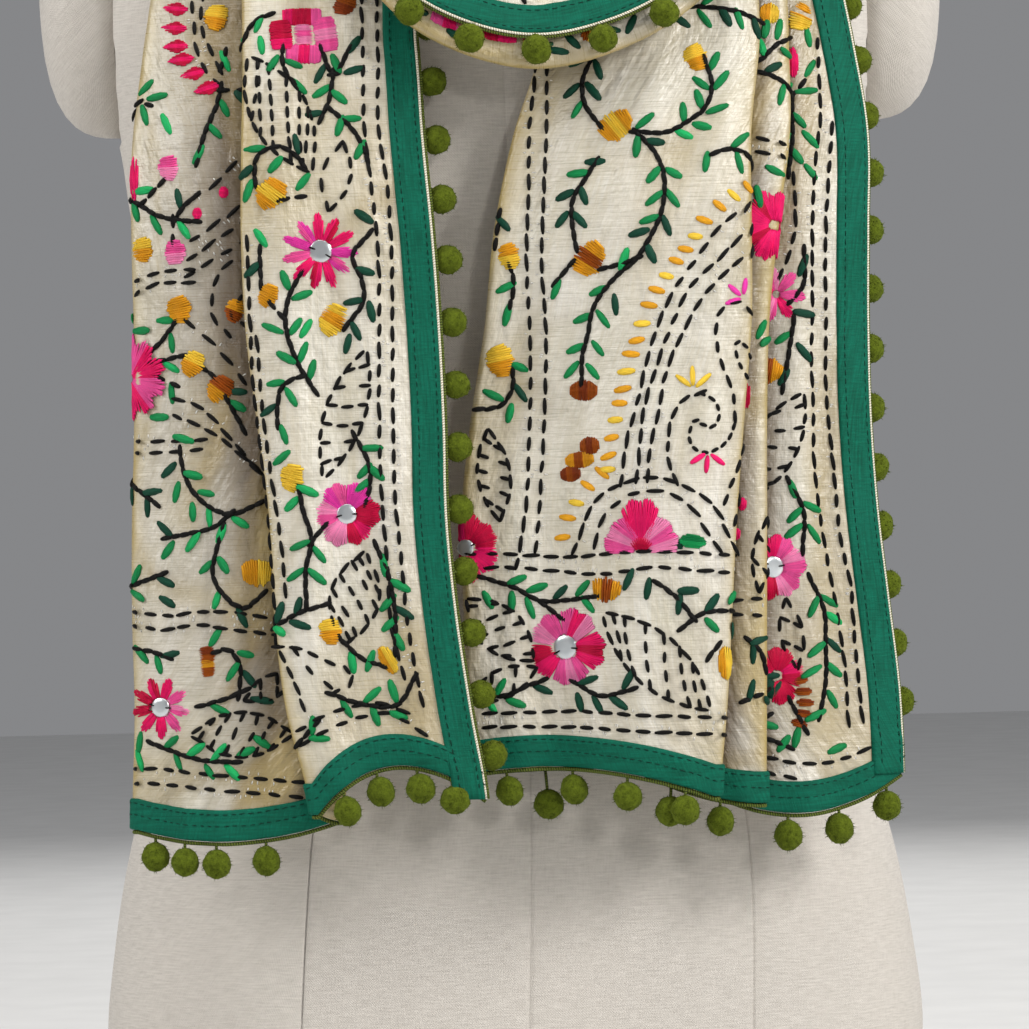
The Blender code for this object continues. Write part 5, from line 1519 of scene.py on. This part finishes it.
rightPleats = {
    "dashes": "817 -40 819 9 821 72 821 123 817 149 813 201 812 250 812 324 811 349 813 406 814 463 820 515 827 "
              "555 834 590 840 624 846 664 850 720 / 826 -40 829 32 834 72 834 115 830 172 827 218 826 258 827 313 "
              "827 392 833 449 837 492 843 544 852 584 856 636 860 676 864 716 / 794 178 796 215 791 250 780 275 / "
              "730 747 760 756 800 764 838 762 866 752 / 730 762 760 771 800 779 838 777",
    "stems": "793 95 793 138 789 172 / 793 95 803 82 / 804 250 802 287 790 302 / 794 320 789 354 783 388 / 789 481 "
             "803 509 803 550 / 810 578 824 610 826 644 826 682 820 716 / 790 700 806 730 / 748 728 768 716 / 770 "
             "740 790 748",
    "leaf": "810 34 811 66 807 89 800 119 811 138 797 155 811 171 793 489 812 507 795 515 794 531 814 534 829 601 "
            "814 607 817 650 812 672 834 670 833 700 838 750 784 744 797 738 816 716 750 738 760 406",
    "pine": "803 265 804 313 804 352 784 377 742 705 776 690 770 676",
    "buds": ((803, 13, 250, 11.5, "gold lemon"), (767, 370, 170, 13, "gold rust gold")),
    "patches": ((794, 60, 90, 14, 4.5, "oval", "pink crimson"),) + tuple(
        (x, y, angle, 8, 3, "oval", "rust brick") for x, y, angle in (
            (800, 681, 10), (804, 692, 0), (806, 703, -4), (804, 714, -10), (800, 724, -18))),
    "flowers": ((773, 567, 14.5, 6, "rose blush/rose pink/pink/crimson/crimson/blush rose", -20, False, 4.6),
                (776, 294, 12.5, 7, "rose/blush rose/pink", 20, True, 1.6),
                (776, 676, 12.5, 5, "crimson/crimson pink/pine", 40, False, 2.4)),
    "leaves": ((742, 502, 803, 394, 20, 5, -0.10), (786, 600, 798, 668, 10, 2, 0.1)),
}
rightMiddle = {
    "dashes": "740 136 751 138 789 146 800 148 / 740 150 751 152 789 159 800 161 / 736 600 750 598 775 602 / 736 "
              "614 775 616",
    "stems": "750 62 760 60 774 46 792 36 / 752 70 762 73 780 80 795 96 / 748 640 760 652 764 668 / 744 700 770 "
             "690",
    "leaf": "779 28 786 52 781 95 774 172 757 198 766 28 760 330 764 342",
    "pine": "752 652 758 640 750 690 766 700",
    "patches": ((770, 12, 80, 10, 8, "oval", "lemon gold"), (745, 396, 88, 12, 3, "oval", "crimson pink"),
                (741, 504, 85, 6, 3.5, "oval", "pink crimson"), (736, 534, 82, 5.5, 2.6, "oval", "pink")),
    "flowers": ((772, 226, 15, 8, "pink crimson/pink", 0, False, 2.0),),
    "leaves": ((766, 520, 758, 590, 9, 2, 0.1),),
}

for cloth, run, layout in ((leftEnd, 0, leftFront), (leftEnd, 2, leftBack), (rightEnd, 1, rightFront),
                           (rightEnd, 5, rightPleats), (rightEnd, 3, rightMiddle)):
    sewLayout(makeCanvas(cloth, run), layout)


def spotOn(canvas, place, share):
    # a place down or along the cloth, and a share of the run's width
    cloth, run = canvas["cloth"], canvas["run"]
    folds = smoothTable(place, cloth["xs"], cloth["folds"])[0]
    if cloth["kind"] == "bundle":
        starts = segmentStarts(cloth, folds[None, :])[0]
        return np.array([place, (starts[2 * run + 1] - starts[2 * run]) * share])
    return np.array([folds[run] + (folds[run + 1] - folds[run]) * share, place])


def fillPanel(canvas, start, end, shares, step=44 * mm):
    # the same vines, flowers, buds and running lines where the photograph shows nothing
    low, high = shares
    middle, half = (low + high) / 2, (high - low) / 2
    rows = np.arange(start, end, 9 * mm)
    for share in (low, low + 0.11, high - 0.11, high):
        dashes(canvas, [spotOn(canvas, row, share) for row in np.append(rows, end)])
    phase = hand.uniform(0, 2 * math.pi)

    def swing(row):
        return math.sin(phase + 2 * math.pi * (row - start) / (2 * step))

    stem(canvas, [spotOn(canvas, row, middle + 0.42 * half * swing(row)) for row in rows])
    kinds = (("pink", "rose"), ("rose", "blush"), ("crimson", "pink"))
    for i, row in enumerate(np.arange(start + step / 2, end - 8 * mm, step)):
        spot = spotOn(canvas, row, middle - 0.36 * half * math.copysign(1, swing(row)))
        if i % 2:
            dyes = ("gold", "lemon", "gold") if i % 4 == 1 else ("gold", "rust")
            bud(canvas, spot, hand.uniform(0, 360), 11.5, dyes)
        else:
            dyes = [kinds[(i + k) % 3] for k in range(6)]
            flower(canvas, spot, 13.5, 6 if i % 4 else 9, dyes, hand.uniform(0, 60), i % 4 == 0, 4.4)
    fillLeaves(canvas)


for cloth, run, start, shares in ((leftEnd, 0, 0.566, (0.42, 0.90)), (leftEnd, 2, 0.552, (0.10, 0.90)),
                                  (rightEnd, 1, 0.560, (0.10, 0.90)), (rightEnd, 5, 0.566, (0.15, 0.58))):
    fillPanel(makeCanvas(cloth, run), start, 0.660, shares, 40 * mm)
for cloth, inset, runs in ((cowl, 10 * mm, (3, 1)), (innerPass, 8 * mm, (3, 1, 0)), (outerPass, 8 * mm, (3, 1, 0))):
    for run in runs:
        shares = {3: (0.10, 0.66), 1: (0.14, 0.86), 0: (0.12, 0.84)}[run]
        fillPanel(makeCanvas(cloth, run), inset, cloth["xs"][-1] - inset, shares)


def alongAtX(cloth, x):
    # place along the cowl where its front passes a distance across
    way = np.linspace(cloth["xs"][3], cloth["xs"][9], 400)
    return float(way[np.argmin(np.abs(smoothTable(way, cloth["xs"], cloth["base"])[:, 0] - x))])


def trimCowlFold(canvas):
    # a worn patch of pink floss, dark leaves and two gold buds, on the layer under the tape
    def spotAt(x, offset):
        return np.array([alongAtX(cowl, x * mm), offset * mm])

    for x, offset, length, width, dyes in (
            (-16, 7.5, 8, 17, "rose pink rose"), (4, 8.5, 5.5, 15, "crimson pink"), (17, 8.5, 4.5, 6, "pink")):
        patch(canvas, spotAt(x, offset), 86, length, width, dyes.split(), "block")
    for x, offset, turn in ((-12, 2.5, 10), (22, 5.0, 150), (28, 3.0, 20), (34, 6.0, 60), (50, 6.0, 30),
                            (-28, 4.0, 160), (58, 4.5, 140)):
        way, spot = aimed(turn)[0] * 4.8, spotAt(x, offset)
        stitch(canvas, spot - way, spot + way, 3.6, 1.3, "pine", "leaf")
    bud(canvas, spotAt(44, 7.5), 20, 10, ("gold", "lemon", "rust"))
    bud(canvas, spotAt(-44, 7.0), 70, 9, ("rust", "gold"))


def trimCowlFace(canvas):
    # two short stems with dark leaves, just above the tape
    for x, lean in ((14, 6.0), (44, -5.0), (-34, 6.0)):
        edge = spotOn(canvas, alongAtX(cowl, x * mm), 1.0)
        foot, top = edge - [0.0, tapeWidth + 3.0 * mm], edge + [lean * mm, -tapeWidth - 20 * mm]
        stem(canvas, [foot, (foot + top) / 2 + [1.5 * mm, 0.0], top])
        for share, side in ((0.15, -1), (0.3, 1), (0.55, -1), (0.7, 1)):
            leafAt(canvas, foot + (top - foot) * share + [side * 4.2 * mm, 0.0], "pine" if side > 0 else "leaf")


trimCowlFold(makeCanvas(cowl, 2, -1))
trimCowlFace(makeCanvas(cowl, 3))
# what shows from behind: the deepest run of the left end, and the back of the right end's last run
fillPanel(makeCanvas(leftEnd, 3), 0.225, 0.60, (0.12, 0.88), 48 * mm)
behind = makeCanvas(rightEnd, 5, -1)
for i, line in enumerate(linesIn(rightPleats, "dashes")):
    if i != 2:
        dashes(behind, px(line))
for line in linesIn(rightPleats, "stems")[3:7]:
    stem(behind, px(line))

# seams of the border tape: two rows of dark stitches along each band, so far from its inner edge

seamValues = {"side": (2.8 * mm, 11.6 * mm), "hem": (1.9 * mm, 6.9 * mm), "start": 4 * mm}


def tapeSeams(cloth, side, along):
    return [(edgeFlat(cloth, side, tapeWidth - inset, along), along) for inset in seamValues["side"]]


def hemSeams(cloth):
    columns, low = hemColumns(cloth, silkValues["coarse"])
    heights = [low + (tapeWidth - inset) for inset in seamValues["hem"]]
    return [(flatAt(cloth, columns, along[None, :])[0], along) for along in heights]


leftSeamAlong = leftSideAlong[leftSideAlong > leftLow + seamValues["start"]]
rightSeamAlong = rightSideAlong[rightSideAlong > rightLow + seamValues["start"]]


def addPullGlints(canvas):
    # tiny raised pale threads beside the running stitches, where the silk puckers; their near-white colour is a
    # painted highlight
    for line in [line for line, kind in canvas["paths"] if kind == "running"]:
        for i in range(1, len(line) - 1):
            ahead = unit(line[i + 1] - line[i - 1])
            across = np.array([-ahead[1], ahead[0]])
            for side in (-1, 1):
                if hand.random() < flossValues["pullGlintShare"]:
                    spot = line[i] + (across * side * hand.uniform(0.9, 1.5) + ahead * hand.uniform(-0.7, 0.7)) * mm
                    reach = (across * side * hand.uniform(0.9, 1.8) + ahead * hand.uniform(-0.3, 0.3)) * mm
                    stitch(canvas, spot, spot + reach, 0.62, 0.2, "pull")


def growPaths(name, lines, kind, shape, dye):
    # lines: points, and the way the cloth faces at each
    points, ups, edges = [], [], []
    for line, up in lines:
        start = len(points)
        points += line.tolist()
        ups += up.tolist()
        edges += [(start + i, start + i + 1) for i in range(len(line) - 1)]
    length, gap, width, high, uneven = pathKinds[kind]
    carrier = makeCarrier(points, edges, {"up": ups}, [hexColour(flossDyes[dye], False)] * len(points))
    return growPiece(name, carrier, pathTree, {
        "Shape": shape, "Finish": flossThread, "Stitch length": length * mm, "Gap": gap * mm,
        "Thread width": width * mm, "Thread height": high * mm, "Uneven": uneven, "Wander": 0.11,
        "Seed": len(points) % 97})


for name, cloth, rows in (
        ("tape_seams_left", leftEnd, tapeSeams(leftEnd, "first", leftSeamAlong) + hemSeams(leftEnd)),
        ("tape_seams_right", rightEnd, tapeSeams(rightEnd, "last", rightSeamAlong) + hemSeams(rightEnd)),
        ("tape_seams_cowl", cowl, tapeSeams(cowl, "last", cowlAlong)),
        ("tape_seams_neck_inner", innerPass, tapeSeams(innerPass, "last", passAlong["inner"])),
        ("tape_seams_neck_outer", outerPass, tapeSeams(outerPass, "last", passAlong["outer"]))):
    lines = []
    for flat, along in rows:
        points, normals = clothFrame(cloth, flat, along)
        lift = tapeValues["lift"] + wall / 2 - 0.05 * mm
        if cloth["kind"] == "hanging" and np.ptp(along) > 0.2:  # a side seam stands higher where the tape does
            corner = along[0] + tapeWidth
            lift = lift + 1.4 * tapeValues["corner"] * smoothStep(corner + 2 * mm, corner - 4 * mm, along)[:, None]
        lines.append((points + normals * lift, normals))
    piece = growPaths(name, lines, "seam", seamStitch, "seam")
    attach(piece, "root")
print("tape seams sewn")


def mirrorDisc(spot, normal, radius):
    # a thin domed disc that lies on the cloth
    turnWay, sides = np.array((0.31, 0.2, 0.93)), 24
    side = unit(turnWay - normal * float(turnWay @ normal))
    other = np.cross(normal, side)
    points = []
    for share, lift in ((1.0, 0.0), (1.0, 0.35), (0.9, 0.6), (0.5, 0.68)):
        for k in range(sides):
            a = 2 * math.pi * k / sides
            rim = (side * math.cos(a) + other * math.sin(a)) * radius * share
            points.append(spot + rim + normal * (wall / 2 + lift * mm))
    under, over = len(points), len(points) + 1
    points += [spot + normal * wall / 2, spot + normal * (wall / 2 + 0.7 * mm)]
    top = under - sides
    faces = ringFaces(4, sides) + [((k + 1) % sides, k, under) for k in range(sides)]
    return points, faces + [(top + k, top + (k + 1) % sides, over) for k in range(sides)]


for canvas in canvases:
    addPullGlints(canvas)


def sewSingles(name, cloth, kind, shape):
    # the single stitches of one shape on one cloth
    points, along, ups, sizes, colours = [], [], [], [], []
    for canvas in canvases:
        rows = [row for row in canvas["stitches"] if canvas["cloth"] is cloth and row[7] == kind]
        if not rows:
            continue
        spots = np.array([row[:4] for row in rows])
        starts, ends = (placeOn(canvas, spots[:, i:i + 2]) for i in (0, 2))
        middleFlat, middleAlong, _ = placeOn(canvas, (spots[:, :2] + spots[:, 2:]) / 2)
        reaches = clothPoints(cloth, *ends[:2]) - clothPoints(cloth, *starts[:2])
        middle, normals = clothFrame(cloth, middleFlat, middleAlong)
        normals = normals * canvas["side"]
        for i in np.nonzero(starts[2] & ends[2])[0]:
            width, high, dye = rows[i][4:7]
            points.append(middle[i] + normals[i] * (wall / 2 + 0.06 * mm))
            along.append(unit(reaches[i]))
            ups.append(normals[i])
            sizes.append((np.linalg.norm(reaches[i]), width, high))
            # the pale threads get a fixed tint above white: a painted highlight
            tint = hand.uniform(*flossValues["tint"]) if dye != "pull" else flossValues["pullGlintTint"]
            colours.append(np.array(hexColour(flossDyes[dye], False)) * tint)
    if not points:
        return None, 0
    carrier = makeCarrier(points, [], {"along": along, "up": ups, "size": sizes}, colours)
    values = {"Shape": shape, "Finish": flossThread, "Wander": 0.05, "Seed": 11}
    return growPiece(name + "_" + kind + "_stitches", carrier, singleTree, values), len(points)


def sewPaths(name, cloth, kind):
    # the lines of one kind on one cloth, each in the stretches that lie clear of tape and edges
    lines = []
    for canvas in canvases:
        for line in [line for line, which in canvas["paths"] if canvas["cloth"] is cloth and which == kind]:
            flat, along, inside = placeOn(canvas, line)
            points, normals = clothFrame(cloth, flat, along)
            normals = normals * canvas["side"]
            points = points + normals * (wall / 2 + 0.05 * mm)
            changes = np.flatnonzero(np.diff(np.concatenate([[0], inside.astype(int), [0]])))
            lines += [(points[a:b], normals[a:b]) for a, b in zip(changes[::2], changes[1::2]) if b - a > 2]
    return growPaths(name + "_" + kind + "_stitches", lines, kind, fatStitch, "black") if lines else None, len(lines)


def sewMirrors(name, cloth):
    points, faces, count = [], [], 0
    for canvas in canvases:
        for centre, radius in canvas["mirrors"] if canvas["cloth"] is cloth else ():
            flat, along, inside = placeOn(canvas, centre[None, :])
            if inside[0]:
                spots, normals = clothFrame(cloth, flat, along)
                discPoints, discFaces = mirrorDisc(spots[0], normals[0], radius)
                faces += [tuple(v + len(points) for v in face) for face in discFaces]
                points += discPoints
                count += 1
    return buildMesh(name + "_mirrors", points, faces, mirrorGlass) if points else None, count


for name, cloth in (("left", leftEnd), ("right", rightEnd), ("cowl", cowl), ("neck_inner", innerPass),
                    ("neck_outer", outerPass)):
    sewn = [sewSingles(name, cloth, kind, shape) for kind, shape in stitchShapes.items()]
    sewn += [sewPaths(name, cloth, kind) for kind in ("running", "outline", "rib", "curl", "stem")]
    for piece, count in sewn + [sewMirrors(name, cloth)]:
        if piece:
            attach(piece, "root")
            print(piece.name, count, "laid,", len(piece.data.polygons), "faces")

# dress form: smooth linen torso with sewn seams, flat arm caps and a neck cap

formValues = {
    "power": 2.3, "underarm": 0.489, "armholeX": 0.166, "capOut": 0.0355, "capHalfHeight": 0.070,
    "capHalfDepth": 0.052, "capHeight": 0.5635, "bustHeight": 0.455, "bustX": 0.080, "bustSwell": 0.012,
    "bustSpread": 0.045,
    "seamDip": 0.9 * mm, "seamHalfWidth": 1.5 * mm, "row": 5.5 * mm, "neckTop": 0.765, "capGap": 0.3 * mm,
    "betweenSeams": 20, "capSides": 72, "neckSides": 96,
}
torsoRows = (  # height, half width, front, back
    (0, 163, 98, 102), (5, 168, 102, 106), (45, 177, 109, 115), (88, 183, 112, 122), (130, 179, 110, 121),
    (165, 173, 107, 116), (200, 164, 101, 108), (240, 150, 94, 95), (288, 137, 88, 83), (330, 140, 93, 87),
    (380, 149, 105, 95), (430, 159, 118, 102), (460, 164, 123, 106), (489, 168, 121, 109), (530, 182, 112, 112),
    (570, 186, 99, 112), (605, 185, 84, 107), (628, 178, 73, 100), (640, 165, 67, 95), (652, 138, 62, 88),
    (666, 106, 58, 79), (680, 80, 55, 69), (698, 64, 53, 60), (730, 58, 50, 55), (765, 56, 49, 53),
)
seamRows = (  # height, then how far the left princess, centre and right princess seams lie from the middle
    (0, -98, 3, 99), (88, -93, 6, 103), (171, -87, 9, 104), (290, -72, 9, 88), (460, -84, 6, 92), (570, -78, 5, 82),
    (640, -60, 3, 62), (680, -40, 2, 42), (700, -32, 2, 34), (765, -30, 2, 32),
)


def levelOf(rows, height):
    # the values of a table at one height, in metres
    rows = np.array(rows, dtype=float)
    return smoothTable(height / mm, rows[:, 0], rows[:, 1:])[0] * mm


def torsoPoint(angle, height, level):
    # one point on the torso's surface, before the armhole is cut
    halfWidth, front, back = level
    c, s = math.cos(angle), math.sin(angle)
    x = halfWidth * math.copysign(abs(c) ** (2 / formValues["power"]), c)
    y = (front if s < 0 else back) * math.copysign(abs(s) ** (2 / formValues["power"]), s)
    if s < 0:
        up = math.exp(-((height - formValues["bustHeight"]) / formValues["bustSpread"]) ** 2)
        side = math.exp(-((abs(x) - formValues["bustX"]) / formValues["bustSpread"]) ** 2)
        y -= formValues["bustSwell"] * up * side * min(1.0, 2.0 * abs(s))
    return x, y


def torsoAngles(height, halfWidth):
    # angles round the torso with a close group of five at each seam, so that the seam is sewn in, not painted
    close = formValues["seamHalfWidth"] / halfWidth
    turns = []
    for x in levelOf(seamRows, height):
        c = math.copysign(abs(x / halfWidth) ** (formValues["power"] / 2), x)
        turns.append(math.acos(np.clip(c, -1, 1)))
    stops = [2 * math.pi - turn for turn in turns] + [2 * math.pi + turn for turn in turns[::-1]]
    stops.append(stops[0] + 2 * math.pi)
    angles, dips = [], []
    for a, b in zip(stops[:-1], stops[1:]):
        for off, dip in ((0, 1.0), (0.35 * close, 0.25), (close, -0.12)):
            angles.append(a + off)
            dips.append(dip)
        count = formValues["betweenSeams"]
        for i in range(1, count):
            angles.append(a + close + (b - a - 2 * close) * i / count)
            dips.append(0.0)
        for off, dip in ((close, -0.12), (0.35 * close, 0.25)):
            angles.append(b - off)
            dips.append(dip)
    return angles, dips


def closedShell(name, points, uv, count, ends):
    # rings of as many points each, and both ends closed round a middle point; ends has its place and its UV
    rings = len(points) // count
    faces = ringFaces(rings, count)
    for row, (spot, place) in zip((0, rings - 1), ends):
        for k in range(count):
            corner = (row * count + k, row * count + (k + 1) % count, len(points))
            faces.append(corner if row else corner[::-1])
        points.append(spot)
        uv.append(place)
    return buildMesh(name, points, faces, linenTwill, uv)


def torsoShell():
    underarm, row, neckTop = formValues["underarm"], formValues["row"], formValues["neckTop"]
    heights = [0.0, 0.0015, 0.0035, 0.006] + list(np.arange(0.0105, underarm, row))
    heights += [underarm - 0.0008, underarm + 0.0014] + list(np.arange(0.4955, 0.762, row)) + [0.7635, neckTop]
    points, uv = [], []
    for height in heights:
        level = levelOf(torsoRows, height)
        angles, dips = torsoAngles(height, level[0])
        tuck = {0.0: 0.0022, 0.0015: 0.0006}.get(height, 0.0)  # the rounded lower edge
        length, last = 0.0, None
        for angle, dip in zip(angles, dips):
            x, y = torsoPoint(angle, height, level)
            size = math.hypot(x, y * 2.2)
            inward = dip * formValues["seamDip"] + tuck
            x, y = x - x / size * inward, y - y * 2.2 / size * inward
            if height > underarm:
                x = max(-formValues["armholeX"], min(formValues["armholeX"], x))
            if last is not None:
                length += math.hypot(x - last[0], y - last[1])
            last = (x, y)
            points.append((x, y, height))
            uv.append((length, height))
    ends = [((0, 0, height), (0, height)) for height in (0.0, neckTop)]
    return closedShell("dress_form_torso", points, uv, len(angles), ends)


def lensCap(name, way):
    # covered arm cap: flat at the armhole, rounded outwards
    count, capOut, capHeight = formValues["capSides"], formValues["capOut"], formValues["capHeight"]
    foot = formValues["armholeX"] + formValues["capGap"]
    points, uv = [], []
    for turn in (0, 6, 12, 20, 28, 38, 48, 58, 68, 76, 84):
        t = math.radians(turn)
        out, share = capOut * math.sin(t) ** (2 / 3), math.cos(t) ** (2 / 3)
        for i in range(count):
            angle = 2 * math.pi * i / count
            y = formValues["capHalfDepth"] * share * math.cos(angle)
            z = formValues["capHalfHeight"] * share * math.sin(angle)
            points.append((way * (foot + out), y, capHeight + z))
            uv.append((y, z + out))
    ends = [((way * (foot + out), 0, capHeight), (0, out)) for out in (0.0, capOut)]
    return closedShell(name, points, uv, count, ends)


def neckCap():
    count, neckTop = formValues["neckSides"], formValues["neckTop"]
    foot = neckTop + formValues["capGap"]
    level = levelOf(torsoRows, neckTop)
    points, uv = [], []
    for lift, share in ((0.0, 0.97), (0.0, 0.995), (0.001, 1.0), (0.004, 1.0), (0.0062, 0.992), (0.0075, 0.97),
                        (0.008, 0.93), (0.008, 0.5)):  # and share of the neck's width
        for i in range(count):
            x, y = torsoPoint(2 * math.pi * i / count, neckTop, level)
            points.append((x * share, y * share, foot + lift))
            uv.append((x * share, y * share))
    ends = [((0, 0, height), (0, 0)) for height in (foot, foot + lift)]
    return closedShell("dress_form_neck_cap", points, uv, count, ends)


for piece, node in ((torsoShell(), "form_torso"), (lensCap("dress_form_cap_left", -1), "form_cap_left"),
                    (lensCap("dress_form_cap_right", 1), "form_cap_right"), (neckCap(), "form_neck_cap")):
    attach(piece, "root")
    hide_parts(node)
print("dress form made")

# floor


def makeFloor():
    material, tree, shader = startMaterial("painted_floor_matt")
    place = addNode(tree, "ShaderNodeTexCoord").outputs["Object"]
    grain = addNode(tree, "ShaderNodeTexNoise", {0: place, "Scale": 18.0, "Detail": 3.0})
    colour = blend(tree, grain, 1.0, "D8D8D7", "DEDEDD")
    finishSurface(tree, shader, {"Base Color": colour, "Roughness": 0.8}, grain, 0.2 * mm)
    side = 6.0
    corners = [(-side, -side, 0), (side, -side, 0), (side, side, 0), (-side, side, 0)]
    floor = buildMesh("floor", corners, [(0, 1, 2, 3)], material, smooth=False)


makeFloor()

for shape in (fatStitch, leafStitch, satinStitch, seamStitch, ball):
    bpy.data.objects.remove(shape)

print("all pieces made")
